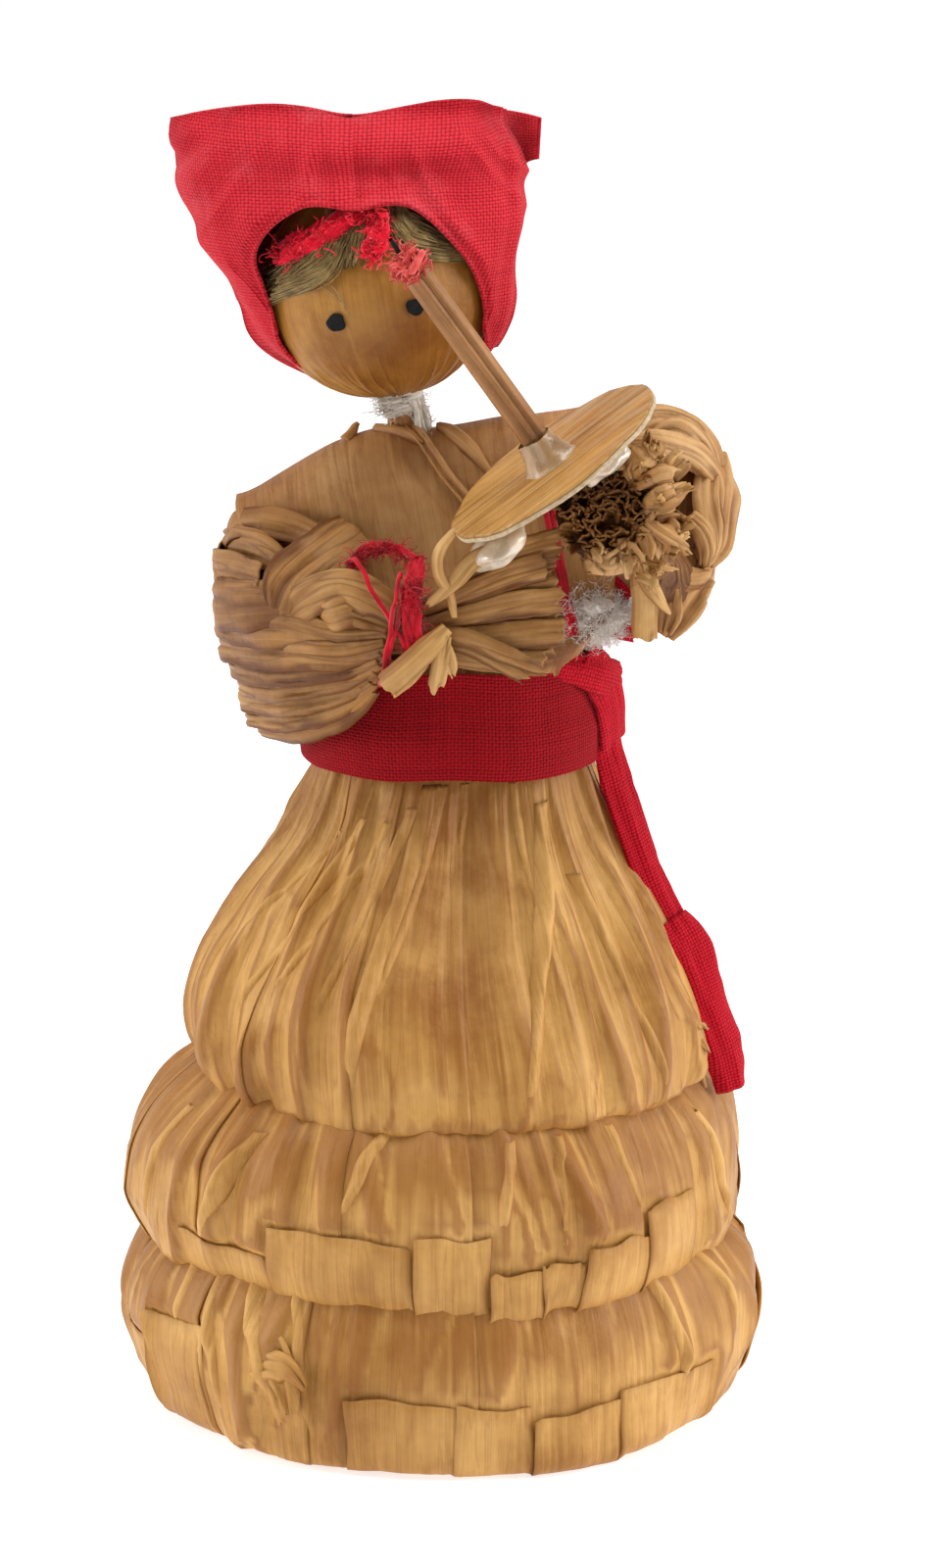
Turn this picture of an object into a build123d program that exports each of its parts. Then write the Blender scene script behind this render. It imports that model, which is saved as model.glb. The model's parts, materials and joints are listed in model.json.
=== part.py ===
from build123d import *
import math
import os

# A standing folk doll made of dried husk strips. It wears a red kerchief and sash and holds
# a candle on a saucer between its two plaited arms.
#
# Millimetres, +Z up. The origin is on the table under the middle of the skirt. The doll
# faces -Y, so +X is its own left side. "Right" and "left" in the names are the doll's own.

os.makedirs("parts", exist_ok=True)

# ---------------------------------------------------------------- driving dimensions
HUSK = 1.0  # thickness of a puffed husk layer
CLOTH = 0.8  # thickness of the red cotton with its turned-in edge
FIT = 0.1  # radial room for what turns
GAP = 0.15  # room between neighbours that only lie on each other

BASE_CARD_R = 40.0
BASE_CARD_T = 1.2
CONE_BOTTOM_R = 36.0
CONE_TOP_R = 12.5
CONE_TOP_Z = 102.0
CONE_WALL = 0.8

WAIST_X = 2.1  # the body stands a little to the doll's left of the skirt's middle
WAIST_Z = 103.0
SASH_LEVELS = [(97.5, WAIST_X, 22.0, 19.4), (110.5, WAIST_X, 21.6, 16.4)]  # z, x centre, x and y radii
WAIST_LEVELS = [(99.0, WAIST_X, 20.6, 17.8), (110.5, WAIST_X, 20.5, 15.3), (150.0, WAIST_X, 50.0, 40.0)]

SHOULDER_Z = 135.2
SHOULDER_TILT = 10.0  # degrees; the left shoulder is the higher one
SHOULDER_ROUND = 7.0
CHEST_HALF_DEPTH = 14.2
CHEST_DROP = 33.0
BRAID_R = 4.5
ARM_R = 5.4
ARMPIT = 22.0  # along the shoulder line, where the chest ends and an arm begins
RIGHT_SHOULDER_ALONG = -27.2
LEFT_SHOULDER_ALONG = 33.0
SHOULDER_R = 4.9

NECK_ALONG = -3.15  # where the neck stands on the shoulder line
NECK_R = 2.3
NECK_EYE_R = 5.75
NECK_EYE_W = 6.0
HEAD_RISE = 30.6
HEAD_R = 17.0
HEAD_HALF_H = 15.6
SKIN = 0.5
NECK_DEPTH = 6.0  # how far the neck husks go up into the head

SAUCER_CENTRE = (15.9, -27.0, 143.6)
SAUCER_NORMAL = (-0.564, -0.1375, 0.8138)
SAUCER_R = 16.8
SAUCER_CARD_T = 0.5
SAUCER_HUSK_T = 0.4
CANDLE_R = 2.3
CANDLE_CORE_R = 1.0
CANDLE_L = 33.0
FLAME_R = 3.1

# ---------------------------------------------------------------- reference planes
TILT = math.radians(SHOULDER_TILT)
SHOULDER_LINE = Vector(math.cos(TILT), 0, math.sin(TILT))
NECK_UP = Vector(-math.sin(TILT), 0, math.cos(TILT))
SHOULDER_MID = Vector(0, 0, SHOULDER_Z)
NECK_BASE = SHOULDER_MID + SHOULDER_LINE * NECK_ALONG
HEAD_CENTRE = NECK_BASE + NECK_UP * HEAD_RISE

ACROSS = Plane(origin=SHOULDER_MID, x_dir=(0, 1, 0), z_dir=SHOULDER_LINE)
NECK = Plane(origin=NECK_BASE, x_dir=SHOULDER_LINE, z_dir=NECK_UP)
HEAD = Plane(origin=HEAD_CENTRE, x_dir=SHOULDER_LINE, z_dir=NECK_UP)
HEAD_FRONT = Plane(origin=HEAD_CENTRE, x_dir=SHOULDER_LINE, z_dir=(0, -1, 0))
SAUCER = Plane(origin=SAUCER_CENTRE, x_dir=(0.81, 0.141, 0.571), z_dir=SAUCER_NORMAL)


# ---------------------------------------------------------------- helpers
def save(part, name):
    """Labels a finished piece and writes it as its own file."""
    part.label = name
    export_step(part, f"parts/{name}.step")


def clear_of(*neighbours):
    """Takes neighbours out of the part being built, so that it only lies against them."""
    for neighbour in neighbours:
        add(neighbour, mode=Mode.SUBTRACT)


def limb(start, end, start_r, end_r):
    """Adds a round-ended tapering length between two points to the part being built."""
    start, end = Vector(start), Vector(end)
    run = end - start
    with Locations(Plane(origin=start + run / 2, z_dir=run)):
        Cone(start_r, end_r, run.length)
    with Locations(start):
        Sphere(start_r)
    with Locations(end):
        Sphere(end_r)


def cone_r(z):
    """Outer radius of the card cone at a height."""
    share = (z - BASE_CARD_T) / (CONE_TOP_Z - BASE_CARD_T)
    return CONE_BOTTOM_R + (CONE_TOP_R - CONE_BOTTOM_R) * share


def strip_face(points, thickness):
    """A bent strip seen edge-on, as a face: a curve and its twin beside it."""
    with BuildSketch() as face:
        with BuildLine():
            near = Spline(*points)
            stations = [i / 8 for i in range(9)]
            far = Spline(*[near @ t + (near % t).rotate(Axis.Z, 90) * thickness for t in stations])
            Line(near @ 0, far @ 0)
            Line(near @ 1, far @ 1)
        make_face()
    return face.sketch


def ruffle(outline, hem_turn):
    """A puffed ring of husk from its tied top edge down to a hem that is turned inside."""
    hem_r, hem_z = outline[-1]
    with BuildPart() as ring:
        with BuildSketch(Plane.XZ):
            add(strip_face(outline, -HUSK))
        revolve(axis=Axis.Z)
        with BuildSketch(Plane.XY.offset(hem_z)):
            Circle(hem_r - HUSK + 0.1)
            Circle(hem_r - 2 * HUSK, mode=Mode.SUBTRACT)
        extrude(amount=hem_turn)
    return ring.part


def ovals(levels, grow=0.0, ruled=False):
    """A solid through level ovals, each (z, x centre, x radius, y radius), swollen by grow."""
    with BuildPart() as solid:
        for z, x, rx, ry in levels:
            with BuildSketch(Plane.XY.offset(z)):
                with Locations((x, 0)):
                    Ellipse(rx + grow, ry + grow)
        loft(ruled=ruled)
    return solid.part


def torso_block(grow):
    """The chest's shape, swollen by grow: round over the shoulder line and deep at the waist."""
    with BuildPart() as block:
        with BuildSketch(ACROSS):
            Circle(SHOULDER_ROUND + grow)
            with Locations((0, -CHEST_DROP)):
                Rectangle(2 * (CHEST_HALF_DEPTH + grow), 2)
            make_hull()
        extrude(amount=45, both=True)
        with BuildSketch(Plane.XZ):
            Polygon(
                (-15.8, 99), (-19.2, 117), (-28.5, 128), (-28.5, 150),
                (28.0, 150), (28.0, 133), (23.5, 120), (20.0, 99), align=None,
            )
            offset(amount=grow)
        extrude(amount=30, both=True, mode=Mode.INTERSECT)
        add(ovals(WAIST_LEVELS, grow, ruled=True), mode=Mode.INTERSECT)
        split(bisect_by=Plane.XY.offset(WAIST_Z), keep=Keep.TOP)
    return block.part


def along_shoulders(radius, low, high):
    """A rod about the shoulder line between two distances from its middle."""
    with BuildPart() as rod:
        with BuildSketch(ACROSS.offset(low)):
            Circle(radius)
        extrude(amount=high - low)
    return rod.part


def half_egg(grow):
    """Half of the head's outline swollen by grow, as a face beside the neck's axis."""
    wide, high = HEAD_R + grow, HEAD_HALF_H + grow
    turns = [math.radians(45 * i) for i in range(5)]
    with BuildSketch() as face:
        with BuildLine():
            rim = Spline(*[(wide * math.sin(t), high * math.cos(t)) for t in turns], tangents=[(1, 0), (-1, 0)])
            Line(rim @ 0, rim @ 1)
        make_face()
    return face.sketch


def egg(grow, inner_grow=None, bored=False):
    """The head's shape swollen by grow: solid, or a shell over a smaller one, or bored for the neck."""
    with BuildPart() as solid:
        with BuildSketch(HEAD_FRONT):
            add(half_egg(grow))
            if inner_grow is not None:
                add(half_egg(inner_grow), mode=Mode.SUBTRACT)
            if bored:
                with Locations((0, -HEAD_HALF_H)):
                    Rectangle(2 * (NECK_R + FIT), 2 * NECK_DEPTH + 0.6, mode=Mode.SUBTRACT)
        revolve(axis=Axis(HEAD_CENTRE, NECK_UP))
    return solid.part


# ---------------------------------------------------------------- skirt
with BuildPart() as base_card:
    with BuildSketch():
        Circle(BASE_CARD_R)
    extrude(amount=BASE_CARD_T)
save(base_card.part, "base_card")

with BuildPart() as skirt_cone:
    with BuildSketch(Plane.XZ):
        with BuildLine():
            Polyline(
                (CONE_BOTTOM_R, BASE_CARD_T),
                (CONE_TOP_R, CONE_TOP_Z),
                (CONE_TOP_R - CONE_WALL, CONE_TOP_Z),
                (CONE_BOTTOM_R - CONE_WALL, BASE_CARD_T),
                close=True,
            )
        make_face()
    revolve(axis=Axis.Z)
save(skirt_cone.part, "skirt_cone")

bottom_tier = ruffle(
    [(29.5, 36.0), (35.0, 32.0), (39.6, 26.5), (43.6, 20.0), (45.4, 12.0), (44.4, 5.0), (43.2, 1.2)],
    hem_turn=7.0,
)
save(bottom_tier, "skirt_tier_bottom")

middle_tier = ruffle(
    [(23.6, 60.0), (29.0, 57.0), (33.8, 51.0), (39.5, 44.5), (43.7, 37.0), (44.6, 31.0), (44.3, 25.2)],
    hem_turn=5.0,
)
save(middle_tier, "skirt_tier_middle")

TOP_TIER_LEVELS = [  # z, x centre, x radius, y radius
    (WAIST_Z - GAP, 2.1, 18.6, 15.4),
    (92.0, 1.2, 22.2, 20.2),
    (78.0, 0.6, 27.6, 26.4),
    (66.0, 0.0, 33.2, 33.0),
    (57.0, 0.8, 36.8, 36.6),
    (49.0, 1.2, 38.2, 38.2),
]
with BuildPart() as skirt_tier_top:
    add(ovals(TOP_TIER_LEVELS))
    add(ovals(TOP_TIER_LEVELS, -HUSK), mode=Mode.SUBTRACT)
save(skirt_tier_top.part, "skirt_tier_top")

with BuildPart() as tier_ties:
    for z, outset in ((37.2, 0.65), (61.2, 0.65)):
        for turn in range(3):
            height = z + 1.1 * turn
            with Locations((0, 0, height)):
                Torus(cone_r(height) + outset, 0.5)
save(tier_ties.part, "tier_ties")

with BuildPart() as waist_tie:
    tie_levels = [(99.3, WAIST_X, 20.35, 17.35), (101.7, WAIST_X, 19.9, 16.8)]
    add(ovals(tie_levels))
    add(ovals(tie_levels, -0.7), mode=Mode.SUBTRACT)
    clear_of(skirt_tier_top.part)
save(waist_tie.part, "waist_tie")

# ---------------------------------------------------------------- torso
core_block = torso_block(-1.1)
inner_block = torso_block(-3.6)
arm_channel = along_shoulders(SHOULDER_ROUND - HUSK + 0.1, -34, 34)
neck_slot_low = NECK_ALONG - NECK_EYE_W / 2 - 0.4
neck_slot_high = NECK_ALONG + NECK_EYE_W / 2 + 0.4

with BuildPart() as torso_core:
    add(core_block)
    with BuildSketch(Plane.XY.offset(WAIST_Z - 12)):
        Circle(CONE_TOP_R - CONE_WALL - GAP)
    extrude(amount=12)
    with BuildSketch(Plane.XY.offset(105)):
        Rectangle(80, 60)
        with Locations((WAIST_X, 0)):
            Ellipse(16.4, 11.2, mode=Mode.SUBTRACT)
    extrude(amount=14, mode=Mode.SUBTRACT)
    clear_of(
        along_shoulders(BRAID_R + FIT, -40, 40),
        along_shoulders(NECK_EYE_R + 0.6, neck_slot_low, neck_slot_high),
    )
    for side in (-1, 1):
        with Locations(ACROSS.offset(side * (ARMPIT + 20))):
            Box(60, 80, 40, mode=Mode.SUBTRACT)
save(torso_core.part, "torso_core")

with BuildPart() as torso_wadding:
    add(core_block)
    with BuildSketch(Plane.XY.offset(105 + GAP)):
        with Locations((WAIST_X, 0)):
            Ellipse(24, 20)
            Ellipse(16.4 + GAP, 11.2 + GAP, mode=Mode.SUBTRACT)
    extrude(amount=14 - 2 * GAP, mode=Mode.INTERSECT)
save(torso_wadding.part, "torso_wadding")

with BuildPart() as bodice:
    add(torso_block(0))
    add(torso_block(GAP - 1.1), mode=Mode.SUBTRACT)
    clear_of(arm_channel)
    with Locations(NECK):
        Cylinder(4.6, 30, mode=Mode.SUBTRACT)
    for side in (-1, 1):
        with Locations(ACROSS.offset(side * (ARMPIT + 20))):
            with Locations((0, -38.5, 0)):
                Box(60, 80, 40, mode=Mode.SUBTRACT)
    with Locations((26, 0, 112)):
        Box(16, 40, 20, mode=Mode.SUBTRACT)

# The bodice is two husk strips. Their seam runs from the neck down to the doll's left hip.
SEAM = Plane(origin=(1.5, 0, 144), x_dir=(0, 1, 0), z_dir=(22.0, 0, 13.0))
with BuildPart() as bodice_right:
    add(bodice.part)
    split(bisect_by=SEAM, keep=Keep.BOTTOM)
save(bodice_right.part, "bodice_right")

with BuildPart() as bodice_left:
    add(bodice.part)
    split(bisect_by=SEAM.offset(GAP), keep=Keep.TOP)
save(bodice_left.part, "bodice_left")

with BuildPart() as bodice_fold:
    add(torso_block(0.8))
    add(torso_block(GAP), mode=Mode.SUBTRACT)
    with Locations(SEAM):
        Box(60, 90, 2.6, mode=Mode.INTERSECT)
    with Locations((0, -15, 131)):
        Box(60, 30, 20, mode=Mode.INTERSECT)
    with Locations(NECK):
        Cylinder(4.6, 30, mode=Mode.SUBTRACT)
save(bodice_fold.part, "bodice_fold")

CHEST_THREAD_LINE = Plane(origin=(17.4, 0, 128), x_dir=(0, 1, 0), z_dir=(24.0, 0, 3.0))
with BuildPart() as chest_thread:
    add(torso_block(1.1))
    add(torso_block(GAP), mode=Mode.SUBTRACT)
    with Locations(CHEST_THREAD_LINE):
        Box(60, 90, 1.1, mode=Mode.INTERSECT)
    with Locations((0, -15, 124)):
        Box(60, 30, 24, mode=Mode.INTERSECT)
    clear_of(bodice_fold.part)
save(chest_thread.part, "chest_thread")

# ---------------------------------------------------------------- sash
with BuildPart() as sash_band:
    add(ovals(SASH_LEVELS))
    add(ovals(SASH_LEVELS, -CLOTH), mode=Mode.SUBTRACT)
save(sash_band.part, "sash_band")

SASH_SIDE_X = WAIST_X + 22.0
with BuildPart() as sash_end_fold:
    with Locations((SASH_SIDE_X - 0.6, -3, 104.5)):
        Box(3.2, 7, 11)
    fillet(sash_end_fold.edges().filter_by(Axis.Z), 0.8)
    clear_of(ovals(SASH_LEVELS))
save(sash_end_fold.part, "sash_end_fold")

TAIL_HINGE = (SASH_SIDE_X + 1.0, -3.0, 97.5)
TAIL_WIDTH = 8.0
with BuildPart() as sash_tail:
    with BuildSketch(Plane.XZ.offset(3 - TAIL_WIDTH / 2)):
        add(strip_face([(25.0, 97.4), (27.6, 86), (32.0, 73), (38.2, 62), (42.2, 54), (43.4, 46.5)], CLOTH))
    extrude(amount=TAIL_WIDTH)
save(sash_tail.part, "sash_tail")

# ---------------------------------------------------------------- neck
with BuildPart() as neck_bundle:
    add(along_shoulders(NECK_EYE_R, NECK_ALONG - NECK_EYE_W / 2, NECK_ALONG + NECK_EYE_W / 2))
    with BuildSketch(NECK):
        Circle(NECK_R)
    extrude(amount=HEAD_RISE - HEAD_HALF_H + NECK_DEPTH)
    add(along_shoulders(BRAID_R + FIT, -40, 40), mode=Mode.SUBTRACT)
save(neck_bundle.part, "neck_bundle")

with BuildPart() as neck_tie:
    for rise in (10.4, 11.7, 13.0):
        with Locations(NECK.offset(rise)):
            Torus(NECK_R + 0.75, 0.7)
save(neck_tie.part, "neck_tie")

# ---------------------------------------------------------------- head
head_ball = egg(-SKIN - 0.05, bored=True)
save(head_ball, "head_ball")

head_skin = egg(0, -SKIN, bored=True)
save(head_skin, "head_skin")

with BuildPart() as eyes:
    with Locations(HEAD_FRONT):
        with Locations((-6.4, -2.1, 15), (4.7, -2.1, 15)):
            Cylinder(1.15, 12)
    add(egg(0.25, 0.02), mode=Mode.INTERSECT)
save(eyes.part, "eyes")

with BuildPart() as hair_fringe:
    add(egg(1.4, 0.1))
    with Locations(HEAD):
        with Locations((0, -14, 6.9)):
            Box(27, 22, 6.2, mode=Mode.INTERSECT)
save(hair_fringe.part, "hair_fringe")

with BuildPart() as hair_yarn:
    add(egg(2.6, 1.55))
    with Locations(HEAD):
        with Locations((-2.5, -14, 7.8)):
            Box(14, 22, 3.2, mode=Mode.INTERSECT)
save(hair_yarn.part, "hair_yarn")

KERCHIEF_LEVELS = [  # z, x centre, x radius, y radius
    (151.8, -6.4, 12.8, 12.8),
    (155.6, -7.4, 16.8, 17.0),
    (160.0, -8.8, 18.6, 18.6),
    (168.0, -9.8, 20.6, 19.0),
    (176.0, -11.2, 23.0, 16.0),
    (184.0, -12.1, 24.9, 9.4),
    (191.5, -12.2, 25.9, 2.2),
]
KERCHIEF_INSIDE = KERCHIEF_LEVELS[:-1] + [(190.6, -12.2, 25.8, 2.6)]
with BuildPart() as headscarf:
    add(ovals(KERCHIEF_LEVELS))
    add(ovals(KERCHIEF_INSIDE, -CLOTH), mode=Mode.SUBTRACT)
    with BuildSketch(Plane.XZ.offset(-0.5)):
        with Locations((HEAD_CENTRE.X - 0.5, 161)):
            Ellipse(17.6, 16.4)
    extrude(amount=40, mode=Mode.SUBTRACT)
save(headscarf.part, "headscarf")

# ---------------------------------------------------------------- arms
RIGHT_SHOULDER = SHOULDER_MID + SHOULDER_LINE * RIGHT_SHOULDER_ALONG
RIGHT_ELBOW = (-25.5, -13.5, 105.5)
RIGHT_WRIST = (-6.0, -23.0, 122.0)
RIGHT_FINGERS = (18.0, -25.0, 121.5)
LEFT_SHOULDER = SHOULDER_MID + SHOULDER_LINE * LEFT_SHOULDER_ALONG
LEFT_ELBOW = (34.0, -10.0, 119.5)
LEFT_WRIST = (29.5, -19.0, 129.5)
LEFT_FINGERS = (26.0, -27.5, 135.5)
LEFT_HAND_END_R = 9.0

shoulder_rod = along_shoulders(BRAID_R, -ARMPIT - 0.8, ARMPIT + 0.8)
save(shoulder_rod, "arm_braid_shoulder")

with BuildPart() as arm_braid_right:
    add(along_shoulders(SHOULDER_R, RIGHT_SHOULDER_ALONG, -ARMPIT - 0.8))
    limb(RIGHT_SHOULDER, RIGHT_ELBOW, SHOULDER_R, 5.8)
    limb(RIGHT_ELBOW, RIGHT_WRIST, 5.8, 4.2)
    clear_of(shoulder_rod)
save(arm_braid_right.part, "arm_braid_right")

with BuildPart() as arm_braid_left:
    add(along_shoulders(SHOULDER_R, ARMPIT + 0.8, LEFT_SHOULDER_ALONG))
    limb(LEFT_SHOULDER, LEFT_ELBOW, ARM_R, 5.8)
    limb(LEFT_ELBOW, LEFT_WRIST, 5.8, 4.5)
    clear_of(shoulder_rod)
save(arm_braid_left.part, "arm_braid_left")

HAND_RUN = Vector(*RIGHT_FINGERS) - Vector(*RIGHT_WRIST)
RIGHT_HAND = Plane(origin=RIGHT_WRIST, x_dir=(0, 0, 1), z_dir=HAND_RUN)
with BuildPart() as hand_right:
    with BuildSketch(RIGHT_HAND):
        Ellipse(3.9, 2.9)
    with BuildSketch(RIGHT_HAND.offset(HAND_RUN.length)):
        Ellipse(7.6, 2.3)
    loft()
    clear_of(arm_braid_right.part)
save(hand_right.part, "hand_right")

with BuildPart() as hand_left:
    run = Vector(*LEFT_FINGERS) - Vector(*LEFT_WRIST)
    with Locations(Plane(origin=Vector(*LEFT_WRIST) + run / 2, z_dir=run)):
        Cone(4.3, LEFT_HAND_END_R, run.length)
    clear_of(arm_braid_left.part)
save(hand_left.part, "hand_left")

with BuildPart() as wrist_thread_right:
    for along in (4.9, 6.0, 7.1):
        with Locations(RIGHT_HAND.offset(along)):
            Torus(4.9, 0.5)
    clear_of(arm_braid_right.part, hand_right.part)
save(wrist_thread_right.part, "wrist_thread_right")

with BuildPart() as wrist_thread_left:
    forearm = Vector(*LEFT_WRIST) - Vector(*LEFT_ELBOW)
    for share in (0.74, 0.83):
        with Locations(Plane(origin=Vector(*LEFT_ELBOW) + forearm * share, z_dir=forearm)):
            Torus(5.5, 0.5)
save(wrist_thread_left.part, "wrist_thread_left")

with BuildPart() as wrist_ribbon_right:
    with BuildSketch(Plane.XZ.offset(27.2)):
        Polygon((-1.0, 119.5), (-8.2, 114.2), (-6.8, 111.6), (-0.6, 116.2), align=None)
        Polygon((-1.4, 119.0), (-0.6, 111.8), (2.6, 113.0), (1.4, 119.5), align=None)
    extrude(amount=0.8)
    with Locations((-0.2, -27.3, 118.2)):
        Sphere(1.7)
    clear_of(arm_braid_right.part, hand_right.part, wrist_thread_right.part)
save(wrist_ribbon_right.part, "wrist_ribbon_right")

with BuildPart() as hand_strip_left:
    with BuildSketch(Plane.XZ.offset(26.0)):
        Polygon((25.4, 127.5), (29.4, 128.5), (30.2, 115.5), (27.0, 114.8), align=None)
    extrude(amount=0.8)
    clear_of(hand_left.part, arm_braid_left.part)
save(hand_strip_left.part, "hand_strip_left")

# ---------------------------------------------------------------- saucer and candle
with BuildPart() as saucer_card:
    with BuildSketch(SAUCER.offset(-SAUCER_CARD_T)):
        Circle(SAUCER_R - 0.2)
    extrude(amount=SAUCER_CARD_T)
save(saucer_card.part, "saucer_card")

with BuildPart() as saucer_husk:
    with BuildSketch(SAUCER):
        Circle(SAUCER_R)
    extrude(amount=SAUCER_HUSK_T)
save(saucer_husk.part, "saucer_husk")

CANDLE_FOOT = SAUCER.offset(SAUCER_HUSK_T)
with BuildPart() as candle_core:
    with BuildSketch(CANDLE_FOOT):
        Circle(CANDLE_CORE_R)
    extrude(amount=CANDLE_L)
save(candle_core.part, "candle_core")

with BuildPart() as candle_wrap:
    with BuildSketch(CANDLE_FOOT):
        Circle(CANDLE_R)
        Circle(CANDLE_CORE_R, mode=Mode.SUBTRACT)
    extrude(amount=CANDLE_L)
save(candle_wrap.part, "candle_wrap")

with BuildPart() as candle_wick:
    with BuildSketch(CANDLE_FOOT.offset(CANDLE_L)):
        Circle(0.5)
    extrude(amount=6.4)
save(candle_wick.part, "candle_wick")

with BuildPart() as flame_tuft:
    with Locations(CANDLE_FOOT.offset(CANDLE_L + 1.8)):
        Sphere(FLAME_R)
    clear_of(candle_core.part, candle_wrap.part, candle_wick.part)
save(flame_tuft.part, "flame_tuft")

with BuildPart() as glue_candle:
    with Locations(CANDLE_FOOT.offset(1.7)):
        Cone(3.9, CANDLE_R + 0.3, 3.4)
    clear_of(candle_core.part, candle_wrap.part)
save(glue_candle.part, "glue_candle")

with BuildPart() as glue_hand_right:
    with Locations((5.6, -27.2, 131.6)):
        Sphere(3.6)
    clear_of(saucer_card.part, saucer_husk.part, hand_right.part)
    with Locations(SAUCER.offset(15)):
        Box(60, 60, 30, mode=Mode.SUBTRACT)
save(glue_hand_right.part, "glue_hand_right")

with BuildPart() as glue_hand_left:
    with Locations((22.8, -27.0, 143.0)):
        Sphere(4.4)
    clear_of(saucer_card.part, saucer_husk.part, hand_left.part)
    with Locations(SAUCER.offset(15)):
        Box(60, 60, 30, mode=Mode.SUBTRACT)
save(glue_hand_left.part, "glue_hand_left")
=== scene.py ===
import json
import math

import bpy
import numpy as np
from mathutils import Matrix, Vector


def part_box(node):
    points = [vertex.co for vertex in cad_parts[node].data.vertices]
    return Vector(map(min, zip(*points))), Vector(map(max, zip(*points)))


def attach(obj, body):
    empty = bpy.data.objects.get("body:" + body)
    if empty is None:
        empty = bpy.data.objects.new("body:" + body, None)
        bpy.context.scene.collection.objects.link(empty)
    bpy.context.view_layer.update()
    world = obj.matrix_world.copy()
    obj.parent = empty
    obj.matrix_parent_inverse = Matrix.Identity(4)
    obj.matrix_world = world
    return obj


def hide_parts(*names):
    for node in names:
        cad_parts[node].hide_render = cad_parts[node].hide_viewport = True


# The looks of a standing husk doll. Lengths in this script are millimetres in the CAD frame,
# until a mesh is made. The doll faces -Y, and +X is its own left.
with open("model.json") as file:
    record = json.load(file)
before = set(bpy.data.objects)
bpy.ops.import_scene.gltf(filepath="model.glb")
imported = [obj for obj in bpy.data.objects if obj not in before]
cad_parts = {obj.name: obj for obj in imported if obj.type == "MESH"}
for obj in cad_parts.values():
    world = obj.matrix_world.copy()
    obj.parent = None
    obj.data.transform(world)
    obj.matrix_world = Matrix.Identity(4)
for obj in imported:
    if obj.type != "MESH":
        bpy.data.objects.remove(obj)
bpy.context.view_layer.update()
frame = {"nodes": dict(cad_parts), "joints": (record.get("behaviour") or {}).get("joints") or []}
MM = 0.001


# ================================================================ numbers that repeat
def lattice(seed, i, j, k):
    """A repeatable number from -1 to 1 for each point of a lattice."""
    h = (i * 374761393 + j * 668265263 + k * 1440662683 + seed * 1274126177) & 0xFFFFFFFF
    h = ((h ^ (h >> 13)) * 1103515245) & 0xFFFFFFFF
    return ((h ^ (h >> 16)) & 0xFFFF) / 32767.5 - 1.0


def noise(seed, x, y=0.0, z=0.0):
    """Smooth noise from -1 to 1, one bump or so for each unit of length."""
    x, y, z = np.broadcast_arrays(*(np.asarray(c, float) for c in (x, y, z)))
    whole = [np.floor(c).astype(np.int64) for c in (x, y, z)]
    ease = [(c - w) * (c - w) * (3 - 2 * (c - w)) for c, w in zip((x, y, z), whole)]
    total = np.zeros(x.shape)
    for corner in range(8):
        steps = [(corner >> n) & 1 for n in range(3)]
        share = np.ones(x.shape)
        for step, e in zip(steps, ease):
            share = share * (e if step else 1 - e)
        total += share * lattice(seed, *(w + step for w, step in zip(whole, steps)))
    return total


def creases(seed, x, y=0.0):
    """Sharp-edged folds from 0 to 1, for pressed and gathered husk."""
    return 1 - np.abs(noise(seed, x, y)) * 2


def through(values, count):
    """Evenly counted points on a smooth curve through a few chosen ones."""
    values = np.asarray(values, float)
    if len(values) == 1:
        return np.repeat(values, count, axis=0)
    place = np.linspace(0, len(values) - 1, count)
    i = np.minimum(place.astype(int), len(values) - 2)
    t = (place - i).reshape((-1,) + (1,) * (values.ndim - 1))
    before, after = values[np.maximum(i - 1, 0)], values[np.minimum(i + 2, len(values) - 1)]
    a, b = values[i], values[i + 1]
    slope_a, slope_b = (b - before) / 2, (after - a) / 2
    return (
        a * (2 * t**3 - 3 * t**2 + 1) + b * (3 * t**2 - 2 * t**3)
        + slope_a * (t**3 - 2 * t**2 + t) + slope_b * (t**3 - t**2)
    )


def unit(v):
    """Vectors brought to length one."""
    return v / np.maximum(np.linalg.norm(v, axis=-1, keepdims=True), 1e-9)


def blended(low, high, value):
    """0 below low, 1 above high, eased between."""
    t = np.clip((value - low) / (high - low), 0, 1)
    return t * t * (3 - 2 * t)


def sweep(columns, rows, low=0.0, high=1.0):
    """A turn across a grid and even steps down it, for round shapes."""
    return np.linspace(0, 2 * math.pi, columns)[None], np.linspace(low, high, rows)[:, None]


def laid(across, along):
    """A flat map in metres from distances in mm."""
    return np.stack(np.broadcast_arrays(across, along), axis=-1) * MM


def placed(centre, *shares):
    """Points at distances along axes from a centre; shares are (distances, axis)."""
    for far, axis in shares:
        centre = centre + np.asarray(far)[..., None] * axis
    return centre


def about(angle, first, second):
    """A direction turned by an angle from one axis towards another."""
    return math.cos(angle) * first + math.sin(angle) * second


def sphere(turn, tilt):
    """Unit vectors: turn goes round Z, and tilt is measured from +Z."""
    return np.stack(
        [np.sin(tilt) * np.cos(turn), np.sin(tilt) * np.sin(turn), np.cos(tilt) + 0 * turn], axis=-1
    )


def wandering(seed, places, rate):
    """Three noises side by side, to make a line wander in space."""
    return np.stack([noise(seed, places, k * rate) for k in range(3)], axis=1)


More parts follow.
